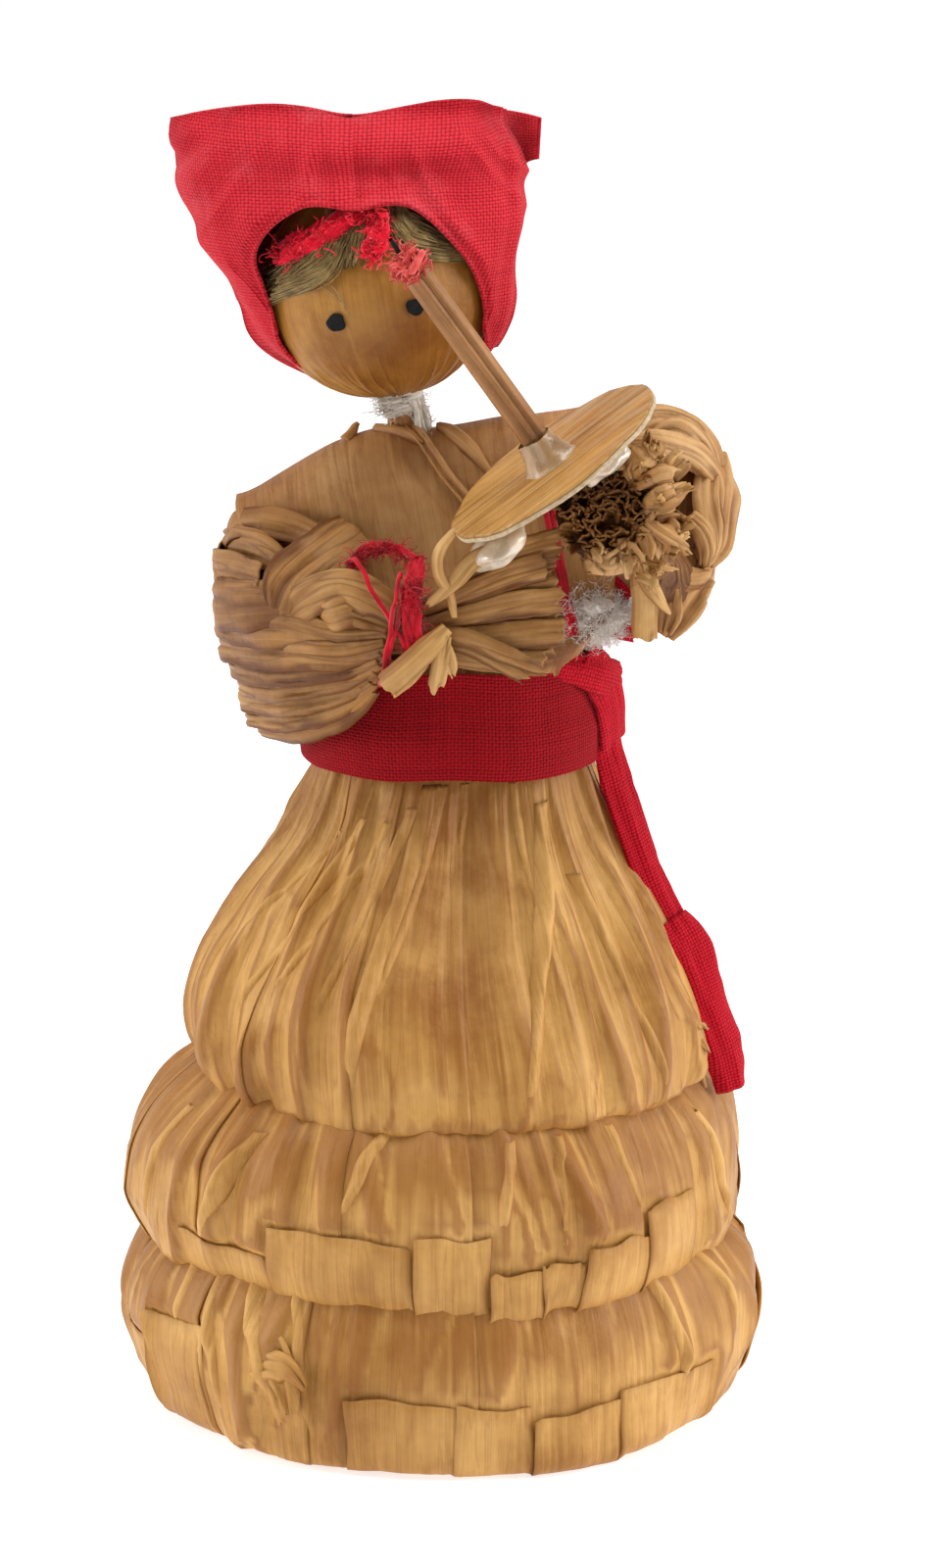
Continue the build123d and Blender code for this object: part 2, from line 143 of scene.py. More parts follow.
# ================================================================ meshes
def hollows(points):
    """How far each grid point stands out of its neighbours, from -1 in a fold's valley to 1 on its ridge."""
    across, down = np.gradient(points, axis=1), np.gradient(points, axis=0)
    out = unit(np.cross(across, down))
    total = np.zeros(points.shape[:2])
    for reach, share in ((1, 1.6), (2, 0.9), (4, 0.5)):
        for axis in (0, 1):
            size = points.shape[axis]
            if size <= 2 * reach + 1:
                continue
            at = np.clip(np.arange(size), reach, size - 1 - reach)
            middle = (points.take(at + reach, axis) + points.take(at - reach, axis)) / 2
            step = points.take(at, axis) - middle
            total += share * (step * out).sum(-1) / reach
    return np.clip(total * 1.6, -1, 1)


class Shape:
    """Grids of points gathered into one mesh, with a flat map in metres for grain and weave."""

    def __init__(self):
        self.points, self.flat, self.faces, self.tone = [], [], [], []
        self.count = 0

    def grid(self, points, flat, tone=None):
        """Adds a grid of points. tone below 0 is mostly painted shade in hollows; above 0, mostly painted highlight on
        ridges.
        """
        rows, columns = points.shape[:2]
        tone = hollows(points) if tone is None else tone
        self.tone.append(np.broadcast_to(tone, (rows, columns)).ravel())
        index = np.arange(rows * columns).reshape(rows, columns) + self.count
        quads = np.stack([index[:-1, :-1], index[:-1, 1:], index[1:, 1:], index[1:, :-1]], axis=-1)
        self.points.append(points.reshape(-1, 3))
        self.flat.append(flat.reshape(-1, 2))
        self.faces.append(quads.reshape(-1, 4))
        self.count += rows * columns

    def ribbon(self, path, width, facing, crown=0.3, folds=0.12, ragged=0.0, seed=1, columns=9, curl=0.0):
        """A flat strap along a path, facing outwards: crown is how far its middle stands up, folds how deep its
        creases are, ragged how torn its far end is, and curl how far its edges turn back."""
        path = np.asarray(path, float)
        rows = max(10, int(np.linalg.norm(np.diff(path, axis=0), axis=1).sum() / 0.7))
        line = through(path, rows)
        along = np.concatenate([[0], np.cumsum(np.linalg.norm(np.diff(line, axis=0), axis=1))])
        run = unit(np.gradient(line, axis=0))
        out = through(np.atleast_2d(np.asarray(facing, float)), rows)
        out = unit(out - run * (out * run).sum(1, keepdims=True))
        side = np.cross(run, out)
        wide = through(np.atleast_1d(np.asarray(width, float))[:, None], rows)[:, 0]
        s = np.linspace(-1, 1, columns)
        lift = crown * (1 - s[None] ** 2) - curl * np.abs(s[None]) ** 3 - 0.05 * wide[:, None] * s[None]
        lift = lift + folds * noise(seed, s[None] * 3.5 + seed, along[:, None] * 0.12)
        lift = lift + folds * 0.8 * creases(seed + 7, s[None] * 2.2, along[:, None] * 0.07)
        edge = 1 + 0.07 * noise(seed + 3, along[:, None] * 0.5, np.sign(s)[None])
        across = wide[:, None] / 2 * s[None] * edge
        end_pull = ragged * (0.6 + 0.6 * noise(seed + 5, s * 2.7 + seed)) * 1.2
        pull = blended(0.72, 1.0, along / along[-1])[:, None] * end_pull[None]
        points = line[:, None] + side[:, None] * across[..., None] + out[:, None] * lift[..., None]
        points = points - run[:, None] * pull[..., None]
        flat = np.stack([across + seed * 11.3, np.repeat(along[:, None], columns, 1)], axis=-1)
        shade = blended(0.5, 1.0, s)[None] + 0.3 * blended(0.8, 1.0, -s)[None]  # darker under the lower edge
        # tone: painted shade in the folds and under the edges, and a random shift in colour from strap to strap and in
        # patches
        tone = 0.6 * hollows(points) - shade + 0.3 * lattice(seed, 5, 5, 5)
        tone = tone - 0.45 * blended(0.0, 0.6, noise(seed + 21, s[None] * 1.5, along[:, None] * 0.2))
        self.grid(points, flat * MM, np.clip(tone, -1, 1))

    def tube(self, path, radius, sides=6, seed=0, rough=0.0):
        """A round thread, fibre or roll along a path."""
        line = np.asarray(path, float)
        along = np.concatenate([[0], np.cumsum(np.linalg.norm(np.diff(line, axis=0), axis=1))])
        run = unit(np.gradient(line, axis=0))
        helper = np.where(np.abs(run[:, 2:3]) < 0.9, [[0.0, 0.0, 1.0]], [[1.0, 0.0, 0.0]])
        side = unit(np.cross(run, helper))
        for i in range(1, len(side)):
            side[i] = unit(side[i - 1] - run[i] * (side[i - 1] @ run[i]))
        up = np.cross(run, side)
        turn = np.linspace(0, 2 * math.pi, sides + 1)
        r = np.broadcast_to(np.asarray(radius, float), (len(line),))[:, None] * np.ones(sides + 1)[None]
        if rough:
            bumps = noise(seed, np.cos(turn)[None] * 1.7, np.sin(turn)[None] * 1.7, along[:, None] * 0.3)
            r = r * (1 + rough * bumps)
        ring = side[:, None] * np.cos(turn)[None, :, None] + up[:, None] * np.sin(turn)[None, :, None]
        points = line[:, None] + ring * r[..., None]
        flat = np.stack([r * turn[None] + seed * 3.1, np.repeat(along[:, None], sides + 1, 1)], axis=-1)
        self.grid(points, flat * MM, 0.0)

    def make(self, name, material, body, thickness=0.0, replaces=()):
        """Makes the object, gives it to its body and hides the CAD nodes it stands for."""
        mesh = bpy.data.meshes.new(name)
        points = np.concatenate(self.points) * MM
        faces = np.concatenate(self.faces)
        mesh.from_pydata(points.tolist(), [], faces.tolist())
        flat = np.concatenate(self.flat)
        layer = mesh.uv_layers.new(name="flat")
        corners = np.zeros(len(mesh.loops), np.int32)
        mesh.loops.foreach_get("vertex_index", corners)
        layer.data.foreach_set("uv", flat[corners].astype(np.float32).ravel())
        tone = mesh.attributes.new(name="tone", type="FLOAT", domain="POINT")
        tone.data.foreach_set("value", np.concatenate(self.tone).astype(np.float32))
        mesh.polygons.foreach_set("use_smooth", [True] * len(mesh.polygons))
        mesh.materials.append(material)
        mesh.update()
        piece = bpy.data.objects.new(name, mesh)
        bpy.context.collection.objects.link(piece)
        if thickness:
            solid = piece.modifiers.new("thickness", "SOLIDIFY")
            solid.thickness = thickness * MM
            solid.offset = 0
        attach(piece, body)
        if replaces:
            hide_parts(*replaces)
        return piece


def strapped(name, material, body, slot, thickness, replaces, *straps):
    """A piece made of straps, each a row of ribbon() settings."""
    shape = Shape()
    for strap in straps:
        shape.ribbon(*strap)
    return shape.make(name, material, body, thickness, replaces)


# ================================================================ materials
class Nodes:
    """A short way to write a material's nodes."""

    def __init__(self, name):
        self.material = bpy.data.materials.new(name)
        self.material.use_nodes = True
        self.tree = self.material.node_tree
        self.shader = self.tree.nodes["Principled BSDF"]

    def node(self, kind, settings=(), **inputs):
        made = self.tree.nodes.new(kind)
        for key, value in dict(settings).items():
            setattr(made, key, value)
        for key, value in inputs.items():
            socket = made.inputs[int(key[1:]) if key[1:].isdigit() else key.replace("_", " ")]
            if isinstance(value, bpy.types.NodeSocket):
                self.tree.links.new(value, socket)
            else:
                socket.default_value = value
        return made

    def math(self, operation, a, b=0.0):
        return self.node("ShaderNodeMath", {"operation": operation}, i0=a, i1=b).outputs[0]

    def weighed(self, *pairs):
        """The sum of values times their weights."""
        parts = [self.math("MULTIPLY", value, weight) for value, weight in pairs]
        total = parts[0]
        for part in parts[1:]:
            total = self.math("ADD", total, part)
        return total

    def eased(self, value, low, high, most):
        """0 at low and most at high, in a straight line."""
        ends = {"From_Min": low, "From_Max": high, "To_Min": 0.0, "To_Max": most}
        return self.node("ShaderNodeMapRange", Value=value, **ends).outputs[0]

    def mix(self, share, a, b):
        return self.node("ShaderNodeMix", {"data_type": "RGBA"}, i0=share, i6=a, i7=b).outputs[2]

    def ramp(self, value, *stops):
        made = self.node("ShaderNodeValToRGB", i0=value)
        elements = made.color_ramp.elements
        while len(elements) < len(stops):
            elements.new(0.5)
        for element, (place, colour) in zip(elements, stops):
            element.position = place
            element.color = (*colour, 1) if len(colour) == 3 else colour
        return made.outputs[0]

    def mask(self, value, low, high, strength):
        """0 up to low, rising to strength at high."""
        return self.ramp(value, (low, grey(0.0)), (high, grey(strength)))

    def noise(self, vector, scale, detail=3.0, roughness=0.55):
        made = self.node("ShaderNodeTexNoise", Vector=vector, Scale=scale, Detail=detail, Roughness=roughness)
        return made.outputs[0]

    def stretched(self, vector, x, y, z=1.0):
        made = self.node("ShaderNodeMapping", Vector=vector)
        made.inputs["Scale"].default_value = (x, y, z)
        return made.outputs[0]

    def flat_map(self):
        return self.node("ShaderNodeUVMap", {"uv_map": "flat"}).outputs[0]

    def place(self):
        return self.node("ShaderNodeTexCoord").outputs["Object"]

    def bump(self, height, distance, strength=1.0, under=None):
        made = self.node("ShaderNodeBump", Strength=strength, Distance=distance, Height=height)
        if under is not None:
            self.tree.links.new(under, made.inputs["Normal"])
        return made.outputs[0]

    def finish(self, colour, roughness, normal, **numbers):
        self.tree.links.new(colour, self.shader.inputs["Base Color"])
        if isinstance(roughness, bpy.types.NodeSocket):
            self.tree.links.new(roughness, self.shader.inputs["Roughness"])
        else:
            self.shader.inputs["Roughness"].default_value = roughness
        self.tree.links.new(normal, self.shader.inputs["Normal"])
        for key, value in numbers.items():
            self.shader.inputs[key.replace("_", " ")].default_value = value
        return self.material


def grey(value):
    return (value, value, value)


def husk(name, light, mid, dark, gloss=0.5, stain=0.35, grain=1.0, shade_spots=(), ribbed=0.14, folded=0.8,
         creased=0.8):
    """Dried husk: fine parallel fibres, faint ribs, blotches, soft crinkles and a low sheen.

    The darker spots, each (x, y, z, radius, strength) in mm, are painted shade; ribbed is how strongly the ribs are
    coloured, folded how dark the painted shade in the valleys between folds is, and creased how deep the sharp
    lines along the grain are.
    """
    n = Nodes(name)
    where = n.flat_map()
    place = n.place()
    pale = (*light, 1)
    deep = (dark[0] * 0.72, dark[1] * 0.52, dark[2] * 0.4, 1)

    # colour: fibres and ribs along the grain, and broad patches
    fibres = n.noise(n.stretched(where, 6200 * grain, 90, 90), 1.0, 4.0)
    ribs = n.noise(n.stretched(where, 1300 * grain, 18, 18), 1.0, 2.0)
    broad = n.noise(place, 42.0, 5.0, 0.62)
    tone = n.weighed((fibres, 0.2), (ribs, ribbed), (broad, 0.8 - ribbed))
    colour = n.ramp(tone, (0.38, dark), (0.5, mid), (0.62, light))
    blotches = n.noise(place, 130.0, 6.0, 0.66)
    colour = n.mix(n.mask(blotches, 0.55, 0.78, stain), colour, (*dark, 1))
    streaks = n.noise(n.stretched(where, 3200 * grain, 24, 24), 1.0, 3.0)
    colour = n.mix(n.mask(streaks, 0.58, 0.82, 0.22), colour, pale)
    # darker spots of painted shade
    for x, y, z, radius, strength in shade_spots:
        spot = (x * MM, y * MM, z * MM)
        away = n.node("ShaderNodeVectorMath", {"operation": "DISTANCE"}, i0=place, i1=spot)
        near = n.math("DIVIDE", away.outputs["Value"], radius * MM)
        near = n.math("ADD", near, n.math("MULTIPLY", n.math("SUBTRACT", blotches, 0.5), 1.6))
        colour = n.mix(n.ramp(near, (0.15, grey(strength)), (1.0, grey(0.0))), colour, deep)

    # painted shade in the valleys, painted highlight on the ridges, and sharp dark creases
    tone = n.node("ShaderNodeAttribute", {"attribute_name": "tone"}).outputs["Fac"]
    valley, crest = n.eased(tone, -0.15, -0.9, folded), n.eased(tone, 0.1, 0.8, 0.16)
    colour = n.mix(crest, n.mix(valley, colour, deep), pale)
    bent = n.math("ABSOLUTE", n.math("ADD", n.noise(n.stretched(where, 300, 26, 26), 1.0, 2.0), -0.5))
    colour = n.mix(n.ramp(bent, (0.0, grey(0.6 * creased)), (0.022, grey(0.0))), colour, deep)

    rough = n.ramp(fibres, (0.3, grey(gloss - 0.06)), (0.7, grey(gloss + 0.16)))
    crinkled = n.bump(n.noise(place, 260.0, 5.0, 0.6), 0.0008, 0.55)
    crinkled = n.bump(n.math("MINIMUM", bent, 0.12), 0.0024, creased, crinkled)
    grained = n.bump(n.weighed((fibres, 0.5), (ribs, 0.7)), 0.00016, 0.4, crinkled)
    return n.finish(colour, rough, grained, Specular_IOR_Level=0.26)


def cloth(name, light, mid, dark, faded=0.0, pitch=0.00048):
    """Plain weave: two sets of threads that pass over and under each other, uneven and a little hairy."""
    n = Nodes(name)
    wander = n.noise(n.place(), 180.0, 2.0)
    shift = n.node("ShaderNodeCombineXYZ", X=wander, Y=wander).outputs[0]
    shift = n.node("ShaderNodeVectorMath", {"operation": "SCALE"}, i0=shift, Scale=pitch * 0.9).outputs[0]
    where = n.node("ShaderNodeVectorMath", {"operation": "ADD"}, i0=n.flat_map(), i1=shift).outputs[0]
    split = n.node("ShaderNodeSeparateXYZ", i0=where)
    waves = [n.math("SINE", n.math("MULTIPLY", split.outputs[axis], math.pi / pitch)) for axis in (0, 1)]
    over = n.math("MULTIPLY", waves[0], waves[1])
    rounds = [n.math("POWER", n.math("ABSOLUTE", wave), 0.6) for wave in waves]
    threads = n.math("MULTIPLY", rounds[0], rounds[1])
    slubs = [n.noise(n.stretched(where, *scales), 1.0, 1.0) for scales in ((1 / pitch, 60), (60, 1 / pitch))]
    uneven = n.math("MULTIPLY", n.math("ADD", *slubs), 0.5)
    tone = n.weighed((threads, 0.5), (uneven, 0.5))
    colour = n.ramp(tone, (0.22, dark), (0.46, mid), (0.72, light))
    bloom = (0.8, 0.16, 0.19, 1)
    colour = n.mix(n.mask(n.noise(n.place(), 60.0, 5.0, 0.65), 0.5, 0.74, faded), colour, bloom)
    hairs = n.noise(n.stretched(n.flat_map(), 2600, 900), 1.0, 5.0, 0.7)
    colour = n.mix(n.mask(hairs, 0.64, 0.8, 0.12 + faded), colour, bloom)
    soft = n.bump(n.noise(n.place(), 120.0, 3.0), 0.001, 0.3)
    woven = n.bump(n.weighed((threads, 0.7), (over, 0.3)), 0.0002, 1.0, soft)
    return n.finish(
        colour, 0.9, woven, Specular_IOR_Level=0.1,
        Sheen_Weight=0.15 + 0.3 * faded, Sheen_Roughness=0.5, Sheen_Tint=(1.0, 0.3, 0.3, 1),
    )


def fibre(name, light, mid, dark):
    """Yarn, thread and hair: streaks along each fibre."""
    n = Nodes(name)
    streaks = n.noise(n.stretched(n.flat_map(), 9000, 260), 1.0, 3.0)
    patches = n.noise(n.place(), 420.0, 2.0)
    colour = n.ramp(n.weighed((streaks, 0.5), (patches, 0.5)), (0.34, dark), (0.5, mid), (0.66, light))
    return n.finish(
        colour, 0.8, n.bump(streaks, 0.0001, 0.5), Specular_IOR_Level=0.2, Sheen_Weight=0.3, Sheen_Roughness=0.4
    )


def glue_like(name, tint):
    """Set hot glue or resin: cloudy, glossy and partly clear."""
    n = Nodes(name)
    gloss = 0.2
    cloud = n.noise(n.place(), 300.0, 4.0)
    colour = n.ramp(cloud, (0.35, tuple(c * 0.72 for c in tint)), (0.65, tint))
    rough = n.ramp(cloud, (0.3, grey(gloss)), (0.75, grey(gloss + 0.22)))
    return n.finish(
        colour, rough, n.bump(cloud, 0.0008, 0.5), Transmission_Weight=0.12,
        Subsurface_Weight=0.3, Subsurface_Scale=0.002, Coat_Weight=0.4, Coat_Roughness=0.1,
    )


def plain_card(name, light, dark):
    """Card, paper and dry ink: faint flecks and no gloss."""
    n = Nodes(name)
    flecks = n.noise(n.place(), 1400.0, 4.0)
    colour = n.ramp(flecks, (0.35, dark), (0.65, light))
    return n.finish(colour, 0.85, n.bump(flecks, 0.0001, 0.4), Specular_IOR_Level=0.2)


# each husk: colours in the light, between and in the grain's dark lines, then gloss, stain and grain
# the darker spots are painted shade: under the sash and the right hand, and on the dim front of skirt and face
HUSK_SKIRT = husk(
    "husk_skirt", (0.70, 0.395, 0.12), (0.55, 0.285, 0.075), (0.36, 0.16, 0.032), 0.42, 0.3,
    shade_spots=[
        (4, -33, 69, 9, 0.75), (-3, -32, 68, 6, 0.6), (2, -22, 94, 16, 0.8), (4, -28, 80, 14, 0.7),
        (8, -42, 46, 10, 0.5), (2, -46, 18, 9, 0.3), (24, -41, 19, 8, 0.3), (6, -36, 62, 9, 0.4),
    ],
    folded=0.62, creased=0.36,
)
HUSK_BODY = husk(
    "husk_body", (0.56, 0.31, 0.115), (0.43, 0.205, 0.065), (0.22, 0.085, 0.021), 0.48, 0.5, 0.8,
    shade_spots=[(-4, -20, 127, 11, 0.55), (-14, -14, 128, 8, 0.35), (-2, -8, 142, 5, 0.4), (-24, -8, 134, 5, 0.3)],
    creased=0.35,
)
HUSK_BRAID = husk(
    "husk_braid", (0.47, 0.25, 0.082), (0.345, 0.158, 0.043), (0.17, 0.065, 0.014), 0.44, folded=0.85
)
HUSK_LOOP = husk(
    "husk_loop", (0.62, 0.37, 0.16), (0.48, 0.25, 0.085), (0.26, 0.11, 0.026), 0.44, folded=0.75
)
# a darkened copy of husk, painted shade for the plait's hollow end and the arms' insides
HUSK_CURL = husk("husk_ruffle", (0.30, 0.135, 0.035), (0.16, 0.06, 0.014), (0.06, 0.02, 0.004), 0.5, 0.5)
HUSK_STRAW = husk("husk_straw", (0.70, 0.45, 0.19), (0.56, 0.31, 0.1), (0.36, 0.17, 0.044), 0.44, 0.2)
HUSK_SAUCER = husk(
    "husk_saucer", (0.60, 0.34, 0.115), (0.46, 0.235, 0.062), (0.2, 0.08, 0.017), 0.26, 0.15, 0.6,
    ribbed=0.4, creased=0.2,
)
HUSK_CANDLE = husk(
    "husk_candle", (0.47, 0.235, 0.085), (0.33, 0.145, 0.046), (0.17, 0.065, 0.014), 0.36, 0.2, 1.3,
    ribbed=0.3, creased=0.2,
)
HUSK_FACE = husk(
    "husk_face", (0.52, 0.265, 0.055), (0.38, 0.165, 0.024), (0.23, 0.08, 0.008), 0.44, 0.4, 0.9,
    shade_spots=[(-7, -15, 158, 13, 0.7), (-2, -16, 164, 10, 0.4), (-14, -12, 156, 9, 0.45)], creased=0.12,
)
SCARF = cloth("cloth_scarf", (0.72, 0.03, 0.045), (0.55, 0.012, 0.026), (0.24, 0.003, 0.008), 0.36)
# the band round the waist is a darker copy of the cloth of the knot and hanging end: painted shade on the dim front
SASH = cloth("cloth_sash", (0.40, 0.005, 0.011), (0.28, 0.002, 0.006), (0.08, 0.001, 0.001))
SASH_END = cloth("cloth_sash_end", (0.62, 0.008, 0.024), (0.46, 0.004, 0.014), (0.16, 0.001, 0.002))
HAIR = fibre("hair", (0.42, 0.30, 0.115), (0.24, 0.155, 0.05), (0.09, 0.05, 0.014))
YARN_RED = fibre("yarn_red", (1.0, 0.015, 0.06), (0.85, 0.005, 0.03), (0.42, 0.001, 0.008))
THREAD_RED = fibre("thread_red", (0.72, 0.008, 0.03), (0.5, 0.003, 0.012), (0.2, 0.001, 0.003))
FLAME = fibre("flame_yarn", (0.85, 0.19, 0.14), (0.68, 0.07, 0.06), (0.34, 0.016, 0.012))
COTTON = fibre("cotton", (0.92, 0.88, 0.82), (0.82, 0.75, 0.67), (0.55, 0.46, 0.38))
WOOL_WHITE = fibre("thread_white", (0.86, 0.83, 0.76), (0.72, 0.67, 0.58), (0.42, 0.36, 0.27))
INK = plain_card("ink", (0.012, 0.012, 0.012), (0.004, 0.004, 0.004))
CARD = plain_card("card", (0.46, 0.31, 0.17), (0.33, 0.2, 0.1))
CARD_PALE = plain_card("card_pale", (0.58, 0.46, 0.31), (0.42, 0.3, 0.17))
GLUE = glue_like("glue", (0.70, 0.58, 0.43))
GLUE_AMBER = glue_like("glue_amber", (0.56, 0.35, 0.17))


# ================================================================ places read from the frame
def box_mm(node):
    low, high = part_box(node)
    return np.array(low) / MM, np.array(high) / MM


def joint(name):
    return next(j for j in frame["joints"] if j["name"] == name)


shoulder_axis = unit(-np.array(joint("arms_rock")["axis"], float))
shoulder_mid = np.array(joint("arms_rock")["pos_m"], float) / MM
head_up = unit(np.array(joint("head_turn")["axis"], float))
head_centre = np.array(joint("head_turn")["pos_m"], float) / MM
FRONT = np.array([0.0, -1.0, 0.0])
UP = np.array([0.0, 0.0, 1.0])
skin_low, skin_high = box_mm("head_skin")
head_r = (skin_high[1] - skin_low[1]) / 2
head_half_h = head_r * 0.918
rng = np.random.RandomState(7)


def head_point(azimuth, polar, grow=0.0):
    """A point on the head: azimuth 0 is straight ahead, polar 0 is the crown. Angles in radians."""
    local = (
        (head_r + grow) * np.sin(polar) * np.sin(azimuth),
        -(head_r + grow) * np.sin(polar) * np.cos(azimuth),
        (head_half_h + grow) * np.cos(polar),
    )
    axes = (shoulder_axis, -FRONT, head_up)
    return head_centre + sum(np.asarray(c)[..., None] * a for c, a in zip(local, axes))


def saw(x, sharp=0.14):
    """Pressed pleats from 0 to 1: a slow rise and a sudden drop."""
    share = x - np.floor(x)
    return np.minimum(share / (1 - sharp), (1 - share) / sharp)


def pleats(seed, degrees, t, spacing, depth):
    """Pleats of uneven width and depth round a tier."""
    x = degrees / spacing + 0.45 * noise(seed, degrees / spacing * 0.55, t * 1.1)
    size = 0.35 + 0.65 * np.abs(lattice(seed, np.floor(x).astype(np.int64), 0, 0))
    return depth * size * saw(x)


def bell(value, middle, width):
    return np.exp(-(((value - middle) / width) ** 2))


def turned(degrees, middle):
    """How far round from the middle, from -180 to 180."""
    return (degrees - middle + 180) % 360 - 180


def ridge(degrees, t, top, bottom, half, height, start, end):
    """A tall narrow fold that runs from one angle at the top to another at the hem."""
    off = np.abs(turned(degrees, top + (bottom - top) * t))
    ends = blended(start - 0.05, start + 0.05, t) * (1 - blended(end - 0.12, end + 0.08, t))
    return height * blended(0, 2.6, half + 1.0 - off) * ends


# ================================================================ skirt
STRIPS = 12  # husk strips round each tier


def tier(name, node, levels, seed, gather, pleat, folds, puffs, bands, swing, laps, calm, shaded=(0.28, 0.5)):
    """One tier of the skirt: overlapping husk strips, gathered at the top and turned under at the hem.

    levels are (z, x centre, x radius, y radius) from the tied edge over the hem and back inside. Angles are
    in degrees from +X, and 270 is straight ahead. folds are ridge() settings; puffs are (angle, width, t,
    t width, height); bands are folded hem pieces, (from angle, to angle, z of the fold, lift, hem drop);
    laps are long narrow folds, (top angle, bottom angle, width, top z, bottom z, lift); calm spots
    are (angle, width) where the strip lies flat; shaded is where the painted shade under the hem above ends.
    """
    shape = Shape()
    rows, columns = 70, 46
    line = through(levels, rows)
    places = np.linspace(0, 1, rows)
    length = np.concatenate([[0], np.cumsum(np.hypot(np.diff(line[:, 0]), np.diff(line[:, 2])))])
    hem = line[:, 0].argmin() / (rows - 1)
    falling = int(hem * (rows - 1))  # rows from the tied edge down to the hem

    def share_at(z):
        """How far down the tier's outside a height is, from 0 to 1."""
        return np.interp(-z, -line[:falling, 0], places[:falling])

    def surface(degrees, t, seed_here, extra):
        """Points and flat map of husk at these angles and shares t of the way down, lifted by extra."""
        z, cx, rx, ry = (np.interp(t, places, line[:, i]) for i in range(4))
        low_room = blended(0.08, 0.24, t)
        wander = degrees + 9 * noise(seed + 11, degrees / 38, t * 1.7) * blended(0.05, 0.5, t)
        patch = 0.3 + 0.7 * blended(-0.4, 0.5, noise(seed + 12, degrees / 24))
        out = gather * patch * low_room * (1 - blended(0.35, 0.9, t)) * creases(seed, wander / 4.4, t * 1.4)
        out = out + pleats(seed + 1, wander, t, 16, pleat) * blended(0.1, 0.3, t)
        out = out + 0.7 * creases(seed + 6, wander / 10, t * 4.5) * low_room
        for fold in folds:
            out = out + ridge(degrees, t, *fold)
        for middle, wide in calm:
            out = out * (1 - 0.85 * bell(turned(degrees, middle), 0, wide) * blended(0.16, 0.3, t))
        drop = swing * noise(seed + 17, degrees / 17) * blended(0.45, 0.8, t)
        for first, last, fold_z, height, fall in bands:
            share = turned(degrees, first) / (last - first)
            inside = blended(-0.06, 0.02, share) * (1 - blended(0.98, 1.06, share))
            below = np.maximum(blended(fold_z + 2.0, fold_z - 0.5, z), t > hem)
            out = out * (1 - 0.8 * inside * below)
            drop = drop - fall * inside * below
        out = out + 1.5 * noise(seed + 2, wander / 25, t * 2.2) * blended(0.15, 0.5, t)
        for middle, wide, at, tall, height in puffs:
            out = out + height * bell(turned(degrees, middle), 0, wide) * bell(t, at, tall)
        out = out + 0.3 * noise(seed + 4, degrees / 5, t * 7) * low_room
        out = out + 0.12 * creases(seed_here, degrees / 1.9, t * 2.2) + extra * low_room
        out = out * (1 - 0.6 * blended(hem - 0.02, hem + 0.1, t))
        angle = np.radians(degrees)
        points = np.stack([
            cx + (rx + out) * np.cos(angle), (ry + out) * np.sin(angle), np.maximum(z + drop, 0.3),
        ], axis=-1)
        around = angle * (line[:, 2].mean() + 6) + 37.0 * seed_here
        return points, laid(around, np.interp(t, places, length))

    t = places[:, None]
    s = np.linspace(0, 1, columns)[None]
    step = 360 / STRIPS
    for i in range(STRIPS):
        degrees = step * (i + 0.12 * lattice(seed, i, 1, 1)) + 1.3 * step * s
        degrees = degrees + 1.2 * noise(seed + i, t * 3.0, s * 0.7) + 2.0 * lattice(seed, i, 3, 1) * t
        points, flat = surface(degrees, t + 0 * s, seed + 30 + i, 0.5 * s)
        # painted shade in the folds and under the hem above, painted highlight on the ridges
        shape.grid(points, flat, np.clip(1.3 * hollows(points) - 0.8 * (1 - blended(*shaded, t)), -1, 1))

    for i, (first, last, fold_z, height, fall) in enumerate(bands):
        s = np.linspace(0, 1, max(12, int((last - first) / 1.1)))[None]
        v = np.linspace(0, 1, 18)[:, None]
        top = share_at(fold_z + 0.5 * noise(seed + 8, s * 3 + i) + 0.7 * lattice(seed + 9, i, 0, 0) * s)
        down = top + (hem + 0.07 - top) * v
        taper = 0.06 * (1 - v) * lattice(seed + 10, i, 0, 0)
        degrees = first + (last - first) * (s + taper * (0.5 - s)) + 0.5 * noise(seed + 13 + i, v * 3, np.round(s))
        lift = 0.55 * height + 0.35 * (1 - v) - 0.5 * s + 0.12 * noise(seed + 50 + i, s * 4, v * 3)
        points, flat = surface(degrees, down, seed + 60 + i, lift)
        edge = np.minimum(np.minimum(s, 1 - s) * 9, 1.0) * np.minimum(0.25 + v * 6, 1.0)
        # painted shade in the folds and along the band's edges
        shape.grid(points, flat, 0.5 * hollows(points) + 0.45 * edge - 0.45)

    for i, (top_angle, low_angle, wide, top_z, low_z, height) in enumerate(laps):
        s = np.linspace(-1, 1, 13)[None]
        v = np.linspace(0, 1, 60)[:, None]
        down = share_at(top_z + (low_z - top_z) * v) + 0 * s
        radius = np.interp(down, places, line[:, 2])
        bend = 1.1 * noise(seed + 70 + i, v * 3.0) * (1 - v)
        degrees = top_angle + (low_angle - top_angle) * v + bend
        degrees = degrees + np.degrees(wide / 2 * s * (1 - 0.35 * v**2) / radius)
        lift = height * (1 - np.abs(s) ** 2.2) * (1 - 0.7 * blended(0.7, 1, v))
        lift = lift + 0.15 * noise(seed + 80 + i, s, v * 8)
        points, flat = surface(degrees, down, seed + 90 + i, lift - 0.1)
        # painted shade along the fold's edges and near its top, a little painted highlight along its middle
        shape.grid(points, flat, 0.25 - 1.1 * blended(0.6, 1.0, np.abs(s)) - 0.4 * (1 - blended(0.0, 0.3, v)))
    shape.make(name, HUSK_SKIRT, "figure", 0.22, [node])


def round_levels(pairs):
    """Levels of a round tier from (radius, z)."""
    return [(z, 0.0, r, r) for r, z in pairs]


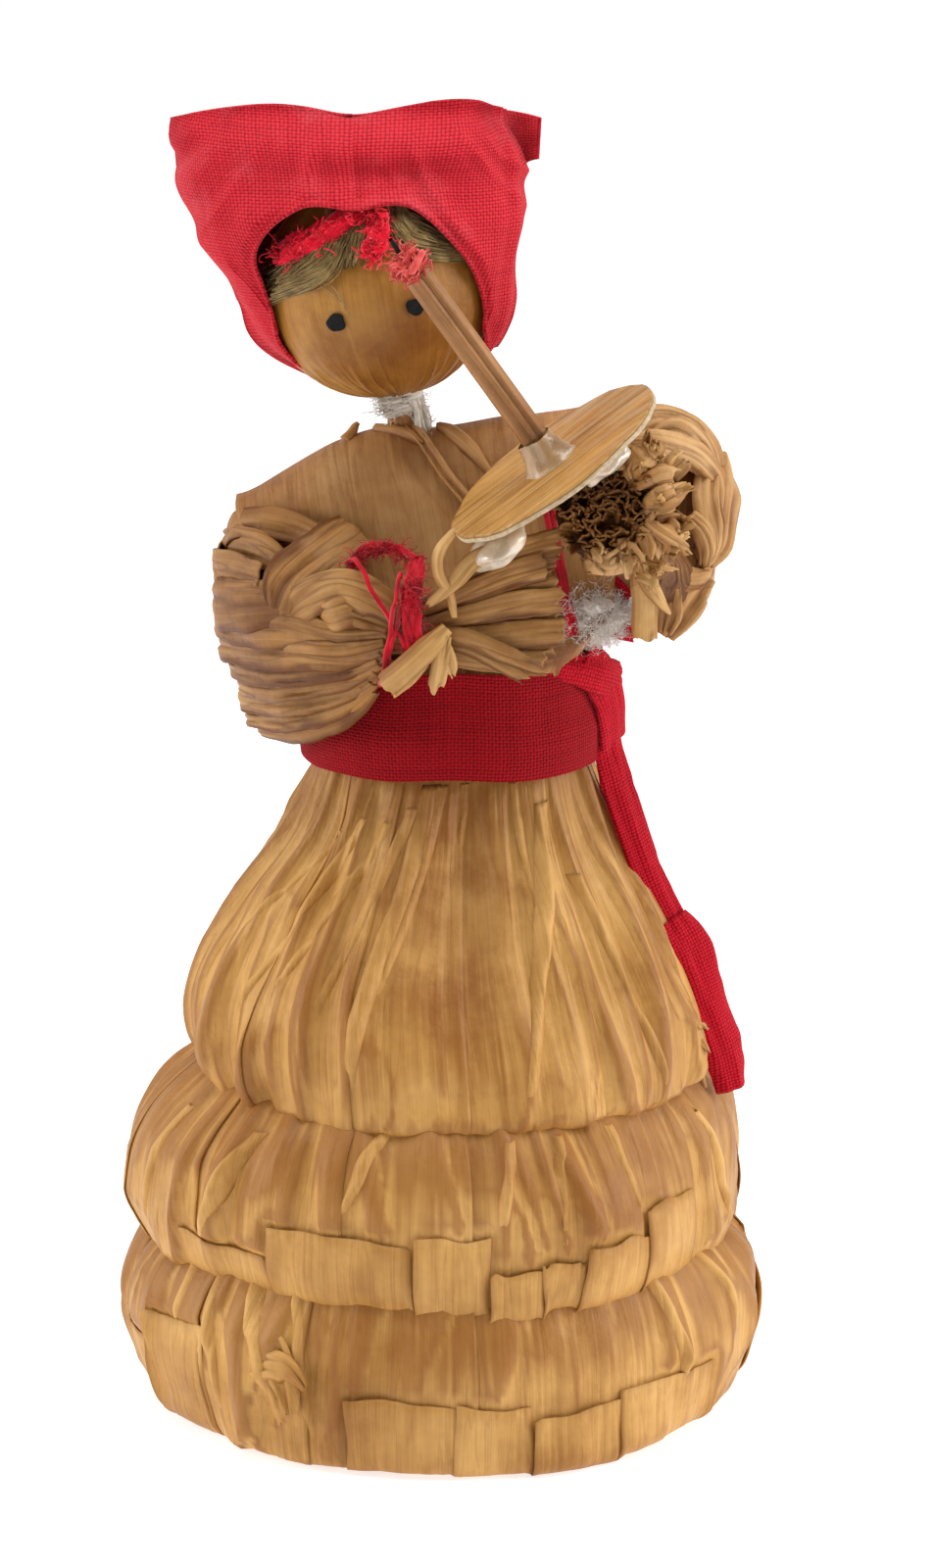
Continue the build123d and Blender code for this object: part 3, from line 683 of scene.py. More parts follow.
def make_skirt():
    tier(
        "skirt_bottom", "skirt_tier_bottom",
        round_levels([
            (30, 36), (36.5, 30.5), (40.6, 25.8), (43.2, 21), (44.6, 15.5), (44.6, 10.5), (43.8, 6), (43.0, 2.6),
            (41.6, 0.9), (39.4, 1.1), (38.4, 5),
        ]),
        seed=3, gather=0.8, pleat=2.0, swing=0.3,
        folds=[
            (228, 236, 2.6, 1.6, 0.2, 0.75), (205, 212, 2.4, 1.3, 0.2, 0.8), (318, 324, 1.8, 1.0, 0.2, 0.8),
        ],
        puffs=[
            (300, 24, 0.72, 0.2, 2.4), (200, 18, 0.45, 0.2, 1.0), (345, 20, 0.4, 0.2, 1.2),
            (262, 12, 0.35, 0.2, -1.0),
        ],
        bands=[
            (253, 273.5, 12.0, 1.9, 0.1), (273, 287.5, 11.4, 1.5, 0.4), (287, 305, 9.6, 2.0, 0.6),
            (304, 329, 11.4, 1.4, 0), (206, 222, 17.5, 1.4, 0.2), (186, 204, 12.0, 1.1, 0.3),
            (20, 42, 10.5, 1.4, 0.2), (60, 79, 12.5, 1.3, 0.1), (100, 124, 9.5, 1.6, 0.4), (124, 150, 12.0, 1.2, 0),
        ],
        laps=[
            (231, 241, 3.0, 30, 5, 1.2), (240, 247, 2.2, 30, 3, 1.0), (222, 226, 2.6, 27, 6, 1.0),
            (214, 212, 2.0, 28, 8, 0.9), (316, 322, 2.4, 26, 6, 1.0), (333, 338, 2.2, 26, 8, 0.9),
        ],
        calm=[(268, 22), (300, 16)],
    )
    tier(
        "skirt_middle", "skirt_tier_middle",
        round_levels([
            (24.4, 60), (30.2, 54.5), (35.4, 49.4), (39.2, 44.6), (41.8, 38.6), (42.8, 32.5), (42.6, 28),
            (41.8, 24.8), (40.4, 23.6), (38.6, 24.6), (37.8, 28.0),
        ]),
        seed=23, gather=0.9, pleat=2.0, swing=0.5,
        folds=[
            (226, 220, 2.0, 1.6, 0.3, 0.8), (284, 281, 1.6, 1.2, 0.15, 0.5), (332, 338, 2.2, 1.4, 0.2, 0.7),
        ],
        puffs=[(192, 22, 0.45, 0.2, 1.6), (246, 14, 0.42, 0.14, -0.8), (330, 18, 0.5, 0.2, 0.8)],
        bands=[
            (236, 265.5, 35.0, 1.9, 0.2), (265, 280, 35.6, 1.6, 0.9), (279.5, 290.5, 31.2, 2.0, 1.5),
            (290, 298, 32.4, 1.5, 0.8), (297.5, 313, 34.0, 1.9, 0.9), (312.5, 330, 36.6, 1.6, 0.4),
            (213, 236, 30.5, 1.5, -0.4), (20, 41, 33.5, 1.4, 0.4), (70, 96, 34.5, 1.7, 0.6),
            (96, 120, 31.5, 1.3, 0.2), (141, 165, 34.0, 1.6, 0.5),
        ],
        laps=[
            (257, 251, 2.6, 49, 38, 1.0), (229, 222, 2.6, 47, 32, 1.1), (285, 282, 2.0, 48, 36, 0.9),
            (296, 294, 1.8, 48, 34, 0.8), (309, 312, 2.2, 48, 34, 1.0), (338, 344, 2.4, 46, 28, 1.0),
            (204, 198, 2.4, 47, 27, 1.0),
        ],
        calm=[(268, 16), (322, 14)],
    )
    tier(
        "skirt_top", "skirt_tier_top",
        [
            (103.5, 2.1, 17.6, 14.4), (97.5, 2.0, 19.0, 16.2), (91, 1.4, 20.8, 18.8), (84, 0.8, 23.8, 22.6),
            (76, 0.3, 28.6, 27.0), (68, 0.0, 32.8, 31.6), (61, 0.4, 35.0, 34.4), (54.5, 0.9, 36.0, 36.0),
            (50.6, 1.2, 35.6, 35.8), (48.6, 1.2, 34.4, 34.8), (48.4, 1.2, 32.6, 33.2), (50.8, 1.2, 31.2, 31.8),
        ],
        seed=45, gather=1.3, pleat=1.6, swing=0.4, bands=(),
        folds=[
            (233, 216, 2.6, 1.4, 0.05, 0.8), (216, 200, 2.4, 1.2, 0.1, 0.75), (305, 318, 2.2, 1.0, 0.3, 0.85),
            (335, 343, 2.6, 1.6, 0.1, 0.8), (20, 24, 2.4, 1.5, 0.1, 0.8), (95, 100, 2.6, 1.6, 0.1, 0.8),
            (140, 132, 2.4, 1.5, 0.1, 0.8),
        ],
        puffs=[
            (196, 44, 0.36, 0.16, -2.2), (190, 40, 0.24, 0.08, -1.0), (190, 40, 0.74, 0.1, -1.6),
            (279, 14, 0.3, 0.22, -2.4), (240, 14, 0.5, 0.12, 0.9), (350, 26, 0.66, 0.16, 1.0),
            (270, 18, 0.66, 0.05, -0.7), (272, 18, 0.76, 0.06, 0.6),
        ],
        laps=[
            (262, 247.5, 3.6, 95, 53, 1.5), (266.5, 254, 2.4, 95, 66, 1.2), (255, 239, 2.4, 92, 62, 1.0),
            (309, 289, 3.2, 92, 54, 1.4), (247, 226, 2.4, 90, 66, 0.9), (236, 212, 2.2, 90, 58, 0.9),
            (316, 325, 2.2, 82, 52, 1.0), (226, 203, 2.0, 88, 70, 0.8), (296, 300, 1.8, 95, 80, 0.7),
            (276, 275, 1.6, 95, 82, 0.6), (70, 66, 2.6, 92, 56, 1.1), (118, 124, 2.4, 90, 54, 1.0),
        ],
        calm=[(271, 22)], shaded=(0.1, 0.34),
    )
    strapped(
        "skirt_bottom_torn_flap", HUSK_SKIRT, "figure", "husk_skirt", 0.25, (),
        ([(-27.5, -33.8, 22.5), (-24.6, -38.0, 18.5), (-22.0, -41.0, 13.5), (-20.8, -42.2, 8.5)],
         [2, 5.6, 5.0, 2.0], [(-0.6, -0.8, 0.4), (-0.4, -0.9, 0.1)], 0.5, 0.5, 0.8, 95, 13, 0.4),
        ([(-29.5, -33.0, 11.5), (-26.0, -37.8, 15.0), (-22.0, -41.4, 15.5), (-18.6, -42.8, 12.5)],
         [2.5, 4.6, 4.0, 1.2], [(-0.5, -0.8, 0.4), (-0.3, -0.9, 0.3)], 0.5, 0.5, 0.8, 96, 13, 0.4),
    )
    frayed = Shape()
    for i in range(12):
        chance = [lattice(k, i, 0, 0) for k in (61, 62, 63, 64, 65)]
        start = np.array([34.5 + 0.5 * chance[0], -9.5 + 3 * chance[1], 56 + 3 * chance[2]])
        end = start + np.array([3.6 + 1.2 * chance[3], -1.2, -3.6 + 3.2 * chance[4]])
        path = [start, (start + end) / 2 + (0.5, -0.2, 0.6), end]
        frayed.ribbon(path, [1.8, 1.3, 0.3], [(0.4, -0.8, 0.3)], 0.2, 0.1, 1.0, i, 6)
    frayed.make("skirt_top_frayed_end", HUSK_STRAW, "figure", 0.16)


# ================================================================ torso
WAIST_ROOM = [(99.0, 20.6, 17.8), (110.5, 20.5, 15.3), (150.0, 50.0, 40.0)]  # z, room in x, room in y
WAIST_X = 2.1  # the waist's middle
CHEST_ROUND = 7.0  # radius of the shoulder ridge
CHEST_FOOT = np.array([14.2, -33.0])  # where the chest meets the waist: depth and rise from the ridge's middle


def ridge_lift(along, down):
    """The bodice bunches up round the neck and slopes away at the right shoulder."""
    lift = 1.7 * bell(along, -7.0, 8.0) + 1.1 * bell(along, 6.0, 8.0) - 4.2 * blended(-13, -29, along)
    return lift * (1 - blended(4, 22, np.abs(down)))


def chest_point(along, down, offset=0.0):
    """A point on the chest. along runs on the shoulder line; down is measured over the surface from the
    ridge, positive in front and negative behind."""
    along, down = np.broadcast_arrays(np.asarray(along, float), np.asarray(down, float))
    reach = np.linalg.norm(CHEST_FOOT)
    tangent = math.atan2(CHEST_FOOT[1], CHEST_FOOT[0]) + math.acos(CHEST_ROUND / reach)
    start = CHEST_ROUND * np.array([math.cos(tangent), math.sin(tangent)])
    straight = (CHEST_FOOT - start) / np.linalg.norm(CHEST_FOOT - start)
    arc = CHEST_ROUND * (math.pi / 2 - tangent)
    run = np.abs(down)
    turn = math.pi / 2 - np.minimum(run, arc) / CHEST_ROUND
    past = np.maximum(run - arc, 0)
    depth = (CHEST_ROUND + offset) * np.cos(turn) + straight[0] * past
    rise = (CHEST_ROUND + offset) * np.sin(turn) + straight[1] * past + ridge_lift(along, down)
    front = -np.sign(down) * depth
    points = shoulder_mid + along[..., None] * shoulder_axis + rise[..., None] * head_up
    points = points + front[..., None] * np.array([0.0, 1.0, 0.0])
    levels = np.array(WAIST_ROOM)
    rx = np.interp(points[..., 2], levels[:, 0], levels[:, 1]) + offset
    ry = np.interp(points[..., 2], levels[:, 0], levels[:, 2]) + offset
    far = np.hypot((points[..., 0] - WAIST_X) / rx, points[..., 1] / ry)
    pull = 1 / np.maximum(far, 1)
    points[..., 0] = WAIST_X + (points[..., 0] - WAIST_X) * pull
    points[..., 1] = points[..., 1] * pull
    return points


def chest_strip(shape, edges, offset, seed, gather=0.5):
    """A strip that hangs over the shoulder. edges are (down, low along, high along) rows."""
    rows, columns = 90, 40
    line = through(edges, rows)
    down, low, high = (line[:, i][:, None] for i in range(3))
    s = np.linspace(0, 1, columns)[None]
    along = low + (high - low) * s
    lift = offset + 0.25 * creases(seed, s * 4, down * 0.03) + 0.25 * noise(seed + 1, s * 3, down * 0.12)
    lift = lift + gather * blended(22, 40, np.abs(down)) * creases(seed + 2, s * 7, down * 0.05)
    points = chest_point(along, down, lift)
    shape.grid(points, laid(along, down))


BODICE = [  # side of the body, offset, seed, edges
    ("left", 0.3, 5, [
        (-40, -6, 21), (-22, -3, 24), (-8, -4, 28.5), (0, -4, 29), (8, -3, 28.5), (22, -5, 24), (40, -9, 20),
    ]),
    ("right", 0.9, 9, [
        (-40, -19, 8), (-22, -23, 3), (-8, -28.5, -1), (0, -29, -1.4), (8, -28.5, 1.5), (22, -22, 10), (40, -15, 18),
    ]),
]


def make_torso():
    for side, offset, seed, edges in BODICE:
        strip = Shape()
        chest_strip(strip, edges, offset, seed)
        strip.make(f"bodice_{side}_strip", HUSK_BODY, "figure", 0.3, [f"bodice_{side}"])
    fold = Shape()
    chest_strip(fold, [(-2, -4.6, -3.0), (3, -2.8, -0.8), (9, 0.4, 2.4), (16, 4.8, 7.0), (24, 9.5, 11.6)], 1.5, 13, 0.0)
    collar = chest_point(np.array([-11.8, -11.0, -10.4, -9.8]), np.array([1.4, 0.5, -0.2, -0.6]), 1.0)
    collar[1:, 2] += (0.5, 1.3, 1.7)
    fold.ribbon(collar, [2.0, 1.4, 0.9, 0.3], [(0.3, -1, 0.2)], 0.2, 0.15, 0.8, 17, 8, 0.4)
    bunch = chest_point(np.array([-7.6, -5.2, -2.6, -0.6]), np.array([0.5, 2.2, 3.8, 5.6]), 1.4)
    fold.ribbon(bunch, [1.4, 1.8, 1.6, 0.6], [(0, -1, 0.6)], 0.3, 0.15, 0.6, 18, 8, 0.3)
    crease = chest_point(np.array([1.5, 3.2, 5.6, 8.2]), np.array([1.0, 3.2, 6.5, 10.5]), 0.7)
    fold.ribbon(crease, [1.2, 2.2, 2.2, 0.8], [(0.2, -1, 0.4)], 0.5, 0.2, 0.6, 19, 8, 0.3)
    fold.make("bodice_edge_fold", HUSK_BODY, "figure", 0.25, ["bodice_fold"])


# ================================================================ sash
def oval_ring(levels, rows, columns, wrinkle, seed):
    """A band of cloth round the waist through level ovals, each (z, x radius, y radius)."""
    angle, t = sweep(columns, rows)
    line = through(levels, rows)
    round_x, round_y = np.cos(angle), np.sin(angle)
    out = wrinkle * noise(seed, round_x * 3, round_y * 3, t * 2.5)
    out = out + 0.5 * wrinkle * creases(seed + 2, t * 2.2 + 0.8 * round_x, round_y * 2)
    drop = 0.35 * noise(seed + 4, round_x * 2, round_y * 2)
    z, rx, ry = (line[:, i][:, None] for i in range(3))
    points = np.stack([WAIST_X + (rx + out) * round_x, (ry + out) * round_y, z + drop], axis=-1)
    height = np.concatenate([[0], np.cumsum(np.hypot(np.diff(line[:, 0]), np.diff(line[:, 2])))])
    return points, laid(angle * 20.0, height[:, None])


def make_sash():
    low, high = box_mm("sash_band")
    rx, bottom, top = (high[0] - low[0]) / 2, low[2], high[2]
    band = Shape()
    ovals = [
        (bottom - 1.6, rx - 0.2, 19.2), (bottom + 3, rx + 0.1, 18.8), (bottom + 7.5, rx - 0.3, 17.5),
        (top + 0.4, rx - 0.6, 16.4),
    ]
    band.grid(*oval_ring(ovals, 46, 300, 0.3, 4))
    sash = band.make("sash_wrap", SASH, "figure", 0.55, ["sash_band"])

    side = WAIST_X + rx
    strapped(
        "sash_knot", SASH_END, "figure", "cloth_sash", 0.5, ["sash_end_fold"],
        ([(side - 3.5, -9, 112), (side - 1, -6.5, 108.5), (side + 0.6, -4.5, 103.5), (side + 1.0, -3.2, 98.2)],
         [6, 6.5, 7, 7.5], [(0.3, -0.7, 0.6), (0.8, -0.6, 0.2), (1, -0.4, 0.1)], 0.6, 0.3, 0.0, 5, 14),
        ([(side - 8, -12.0, 111.3), (side - 4, -9.8, 110.2), (side - 0.6, -6.8, 108.6), (side + 1.4, -3, 107.0)],
         [3, 4.4, 5.4, 5.8], [(0.2, -0.9, 0.4), (0.8, -0.6, 0.2)], 0.6, 0.3, 0.0, 8, 12),
        # two scraps of the same cloth behind the left hand
        ([(20.0, -8.6, 126.0), (24.2, -9.4, 124.6), (28.4, -8.8, 121.6)],
         [4.0, 5.6, 4.0], [(0, -1, 0.2)], 0.6, 0.5, 0.8, 15, 11),
        ([(22.6, -8.2, 119.4), (25.8, -8.8, 116.8), (28.4, -8.0, 114.8)],
         [4.0, 4.4, 2.0], [(0, -1, 0.2)], 0.6, 0.5, 0.6, 16, 11),
    )
    hanging = strapped(
        "sash_hanging_end", SASH_END, "sash_tail", "cloth_sash", 0.5, ["sash_tail"],
        ([(24.2, -4.6, 98.6), (25.8, -4.4, 92), (28.4, -4.2, 84), (31.4, -4.6, 76), (34.4, -5.2, 70.0)],
         [5.4, 5.6, 5.4, 5.6, 6.4], [(0.75, -0.65, 0.1), (0.7, -0.7, 0.15)], 0.5, 0.25, 0.0, 2, 14, 0.3),
        ([(33.6, -5.4, 72.0), (35.8, -6.0, 68.0), (38.8, -6.6, 60), (41.4, -6.6, 53), (42.8, -6.2, 46.6)],
         [6.0, 8.8, 8.0, 6.8, 4.8], [(0.6, -0.8, 0.2)], 0.8, 0.35, 0.0, 3, 18, 0.5),
    )


# ================================================================ head
def face_point(x, z, grow=0.0):
    """A point on the front of the head from its own sideways and upward distances."""
    x, z = np.broadcast_arrays(np.asarray(x, float), np.asarray(z, float))
    wide, tall = head_r + grow, head_half_h + grow
    y = wide * np.sqrt(np.maximum(1 - (x / wide) ** 2 - (z / tall) ** 2, 0.01))
    return placed(head_centre, (x, shoulder_axis), (z, head_up), (y, FRONT))


def make_head():
    inside = Shape()
    azimuth = np.linspace(-math.pi, math.pi, 60)[None]
    polar = np.linspace(0.02, math.pi - 0.02, 40)[:, None]
    points = head_point(azimuth + 0 * polar, polar + 0 * azimuth, -0.9 + 0.1 * noise(2, azimuth * 3, polar * 3))
    inside.grid(points, laid(azimuth * head_r, polar * head_r))
    inside.make("head_stuffing", COTTON, "head", 0, ["head_ball"])

    skin = Shape()
    azimuth = np.linspace(-math.pi, math.pi, 240)[None]
    polar = np.linspace(0.02, math.pi - 0.1, 130)[:, None]
    near_neck = blended(1.8, 2.9, polar)
    folds = 0.3 * (1 + creases(3, azimuth * 7.0 + 0.4 * noise(4, polar * 3), polar * 0.5)) * near_neck
    folds = folds + 0.14 * (1 + creases(5, azimuth * 15, polar * 0.8)) * blended(1.5, 2.6, polar)
    folds = folds + 0.12 * noise(6, azimuth * 5, polar * 2) + 0.06 * creases(8, azimuth * 22, polar * 1.2)
    points = head_point(azimuth + 0 * polar, polar + 0 * azimuth, folds - 0.1)
    skin.grid(points, laid(azimuth * head_r, polar * head_r))
    skin.make("face_skin", HUSK_FACE, "head", 0, ["head_skin"])

    for name, x, z, seed in (("eye_right", -6.4, -2.0, 1), ("eye_left", 5.0, -1.8, 2)):
        spot = Shape()
        turn, ring = sweep(31, 7, 0.02)
        size = 1.28 + 0.22 * noise(seed, np.cos(turn) * 1.5, np.sin(turn) * 1.5)
        across, up = x + ring * size * np.cos(turn), z + ring * size * np.sin(turn)
        spot.grid(face_point(across, up, 0.24), laid(across, up))
        spot.make(name, INK, "head", 0.12, ["eyes"])


def strand(start, end, sag, seed, count=9, wild=0.5):
    """A fibre from one point to another that bows by sag and wanders a little."""
    t = np.linspace(0, 1, count)[:, None]
    start, end, sag = (np.asarray(v, float) for v in (start, end, sag))
    line = start + (end - start) * t + sag * (4 * t * (1 - t))
    return line + wandering(seed, t[:, 0] * 2.5, 9.1) * wild * (t * (1.2 - t) * 3)


def make_hair():
    hair = Shape()
    for i in range(760):
        left_side = rng.uniform() < 0.58
        u, v = rng.uniform(), rng.uniform()
        if left_side:
            start = face_point(-1.0 - 4.0 * u, 11.6 + 1.6 * v, 0.6 + 0.9 * u)
            end = face_point(-16.4 + 9.0 * u * v, 0.2 + 5.6 * u + 1.2 * v, 0.4 + 0.7 * v)
            middle = face_point(-8.0 + 2.4 * v, 4.6 + 5.2 * u, 0.7 + 0.8 * v)
        else:
            start = face_point(2.4 + 3.0 * u, 12.0 + 1.2 * v, 0.6 + 0.9 * u)
            end = face_point(15.8 - 8.0 * u * v, 0.6 + 5.2 * u + 1.6 * v, 0.4 + 0.7 * v)
            middle = face_point(7.4 - 2.0 * v, 5.8 + 4.6 * u, 0.7 + 0.8 * v)
        if i % 5 == 0:
            start = face_point(-3.0 + 5.0 * u, 12.6, 0.6 + 0.5 * v)
            middle = face_point(-5.0 + 5.6 * u, 9.0 + 1.4 * v, 0.6 + 0.9 * v)
            end = face_point(-8.6 + 8.4 * u, 5.2 + 1.8 * v, 0.4 + 0.6 * v)
        line = through([start, middle, end], 12)
        line = line + 0.45 * wandering(i + 40, np.arange(12) * 0.4, 9.1)
        hair.tube(line, 0.07 + 0.08 * rng.uniform(), 4, i)
    loose = (((-15.5, 1.6), (-9.0, 4.2), (-4.6, 0.2)), ((-13.0, 3.0), (-6.5, 3.6), (-4.4, -1.6)))
    for start, middle, end in loose:  # two hairs hang over the face
        line = [face_point(*start, 0.8), face_point(*middle, 0.9), face_point(*end, 0.4)]
        hair.tube(through(line, 24), 0.07, 5, 3)
    hair.make("hair_fibres", HAIR, "head", 0, ["hair_fringe"])

    yarn = Shape()
    path = [  # across and up the face, from the doll's right
        (-13.0, 8.0), (-10.0, 9.2), (-7.0, 10.0), (-3.6, 11.4), (-0.5, 12.4), (1.6, 11.4), (1.8, 9.6), (1.0, 7.8),
        (0.2, 6.8),
    ]
    line = through(path, 70)
    for k in range(6):
        twist = np.linspace(0, 7.0, 70) + k * math.pi / 3
        x, z = line[:, 0] + 0.95 * np.cos(twist), line[:, 1] + 0.95 * np.sin(twist)
        yarn.tube(face_point(x, z, 1.4 + 0.55 * np.sin(twist + 1)), 0.72, 8, 40 + k, 0.35)
    for i in range(520):
        start = face_point(*(line[rng.randint(70)] + rng.normal(0, 0.75, 2)), 1.8 + 0.4 * rng.uniform())
        end = start + rng.normal(0, 0.8, 3) + FRONT * 0.3
        yarn.tube(strand(start, end, rng.normal(0, 0.4, 3), i + 900, 6, 0.4), 0.06 + 0.05 * rng.uniform(), 4, i)
    yarn.make("hair_red_yarn", YARN_RED, "head", 0, ["hair_yarn"])


# ================================================================ kerchief
HOOD = [  # z, x centre, x radius, y radius
    (151.4, -7.0, 11.4, 11.6), (154.0, -8.2, 15.2, 15.2), (157.7, -8.7, 18.2, 18.0), (162.0, -9.0, 19.4, 18.8),
    (166.0, -9.9, 20.6, 19.0), (170.0, -10.9, 22.0, 18.6), (176.0, -11.6, 23.0, 15.8), (184.0, -12.3, 24.4, 8.8),
    (188.4, -12.3, 25.3, 1.5), (190.6, -12.3, 25.7, 0.45),
]


def make_kerchief():
    rows, columns = 100, 400
    levels = through(HOOD, 240)
    around = np.linspace(-math.pi, math.pi, columns)[None]  # 0 is straight ahead
    t = np.linspace(0, 1, rows)[:, None]
    front, side = np.cos(around), np.sin(around)
    arch = 160.0 + 18.4 * np.sqrt(np.clip(1 - (side / 0.84) ** 2, 0, 1)) + 1.0 * noise(20, side * 3)
    foot = np.where(side > 0, 156.0 - 3.0 * blended(0.1, -0.5, front), 151.6) + 0.5 * noise(21, side * 6, front * 4)
    turned_back = blended(0.56, 0.38, front)
    low_edge = arch * (1 - turned_back) + foot * turned_back
    top_edge = 189.4 + 0.7 * noise(22, side * 2.4) + 1.6 * bell(side, 0.52, 0.28) + 0.6 * bell(side, -0.45, 0.25)
    top_edge = top_edge - 1.2 * bell(side, 0.0, 0.2) - 1.0 * bell(side, -1, 0.2)
    z = low_edge + (top_edge - low_edge) * t**0.9
    cx, rx, ry = (np.interp(z, levels[:, 0], levels[:, i]) for i in (1, 2, 3))
    puff = 1.0 * noise(23, side * 3.0, z * 0.11, front * 1.5) + 0.7 * creases(24, side * 2.2 + z * 0.05, z * 0.09)
    pull = 1.0 * creases(25, side * 1.5 + (z - 160) * 0.05 * np.sign(side), z * 0.02) * blended(162, 178, z)
    spokes = 0.7 * creases(26, 3.2 * side / (0.25 + 0.03 * (192 - z)), z * 0.03) * blended(166, 174, z) * (front > 0)
    dent = -2.4 * bell(z, 181.0, 2.6) * bell(side, 0.15, 0.5) * (front > 0)
    dent = dent + 1.5 * bell(z, 175.5, 2.4) * bell(side, 0.05, 0.6)
    swell = 1.6 * bell(z, 186.0, 3.2) * bell(side, 0.5, 0.35) * (front > 0)
    seam = 0.8 * bell(side, 0.93, 0.03) * (front > 0)
    out = (puff + pull + spokes + dent + swell) * blended(0, 0.1, t) * (1 - 0.8 * blended(185, 190, z)) + seam
    out = out * blended(151, 158, z)
    hug = np.where(side < 0, 2.3, 0.9) * bell(t, 0.0, 0.22) * blended(0.3, 0.8, np.abs(side)) * blended(178, 166, z)
    out = out - hug * (front > 0)
    rim = 0.55 * bell(t, 0.0, 0.03) * (front > 0)
    cut_in = 4.0 * blended(0.62, 1.0, side) * blended(180.5, 189.0, z)  # room for the bent-over corner
    x = cx + (rx + out * np.abs(side)) * side - cut_in
    y = -(ry + out + rim) * front
    hood = Shape()
    hood.grid(np.stack([x, y, z], axis=-1), laid(around * 19.0, z + 3.0 * front * blended(176, 190, z)))
    # the left-hand corner is bent over into a little flap
    across = np.linspace(0, 1, 12)[None, :, None]
    down = np.linspace(0, 1, 16)[:, None, None]
    inner = np.array([8.6, 0.0, 189.6]) + down * np.array([2.9, 0.0, -8.4])
    outer = np.array([14.4, -0.3, 188.6]) + down * np.array([-0.4, -0.3, -5.8])
    bend = 1.6 * across - 1.6 * np.sin(across * math.pi * 0.9) + 0.3 * noise(27, across * 2, down * 3)
    flap = inner + (outer - inner) * across + bend * FRONT
    hood.grid(flap, laid(5 * across[..., 0] + 60, 8 * down[..., 0]))
    piece = hood.make("kerchief", SCARF, "head", 0.55, ["headscarf"])


# ================================================================ neck
def ring_path(centre, axis, radius, turns=1.0, rise=0.0, count=40, phase=0.0):
    """Turns of a coil round an axis."""
    axis = unit(np.asarray(axis, float))
    side = unit(np.cross(axis, [0.3, 1.0, 0.2]))
    a = np.linspace(0, 2 * math.pi * turns, count) + phase
    ring = np.cos(a)[:, None] * side + np.sin(a)[:, None] * np.cross(axis, side)
    return np.asarray(centre) + radius * ring + np.linspace(0, rise, count)[:, None] * axis


def make_neck():
    base = np.array(joint("neck_nod")["pos_m"], float) / MM
    back = -FRONT
    bundle = Shape()
    for i in range(9):
        offset = 1.75 * about(2 * math.pi * i / 9, shoulder_axis, back)
        path = [base + head_up * up + offset * out for up, out in ((5.2, 1.6), (9, 1.15), (17.5, 1.1))]
        bundle.ribbon(path, [2.6, 2.2, 2.2], offset, 0.35, 0.15, seed=i, columns=9)
    bundle.make("neck_husks", HUSK_BODY, "neck", 0.2, ["neck_bundle"])
    yarn = Shape()
    for i in range(4):  # turns round the top of the neck
        tilt = head_up + 0.2 * lattice(4, i, 0, 0) * shoulder_axis
        radius = 2.75 + 0.25 * lattice(5, i, 0, 0)
        yarn.tube(ring_path(base + head_up * (12.0 + 0.8 * i), tilt, radius, 1, 0.4, 34, i), 0.5, 7, i, 0.5)
    for i in range(7):  # lengths that run down the doll's left side
        out = about(-1.0 + 0.34 * i, shoulder_axis, back)
        start, end = base + head_up * 7.2 + out * 3.1, base + head_up * 13.5 + out * 2.9
        yarn.tube(strand(start, end, 0.3 * out, i, 16, 0.3), 0.42, 7, i, 0.5)
    for i in range(240):  # fluff
        a = rng.uniform(0, 2 * math.pi)
        out = about(a, shoulder_axis, back)
        start = base + head_up * rng.uniform(6.5 if math.cos(a) > 0.4 else 11.8, 14.5) + out * 2.8
        end = start + out * rng.uniform(0.2, 1.0) + rng.normal(0, 0.9, 3)
        yarn.tube(strand(start, end, rng.normal(0, 0.3, 3), i, 6, 0.5), 0.05, 4, i)
    yarn.make("neck_yarn", WOOL_WHITE, "neck", 0, ["neck_tie"])


# ================================================================ arms
def arm_core(name, path, count, first, last, seed):
    """The inside of an arm, seen only between its straps, made dark as painted shade."""
    core = Shape()
    core.tube(through(path, count), np.linspace(first, last, count), 20, seed, 0.25)
    core.make(name, HUSK_CURL, "arms", 0)


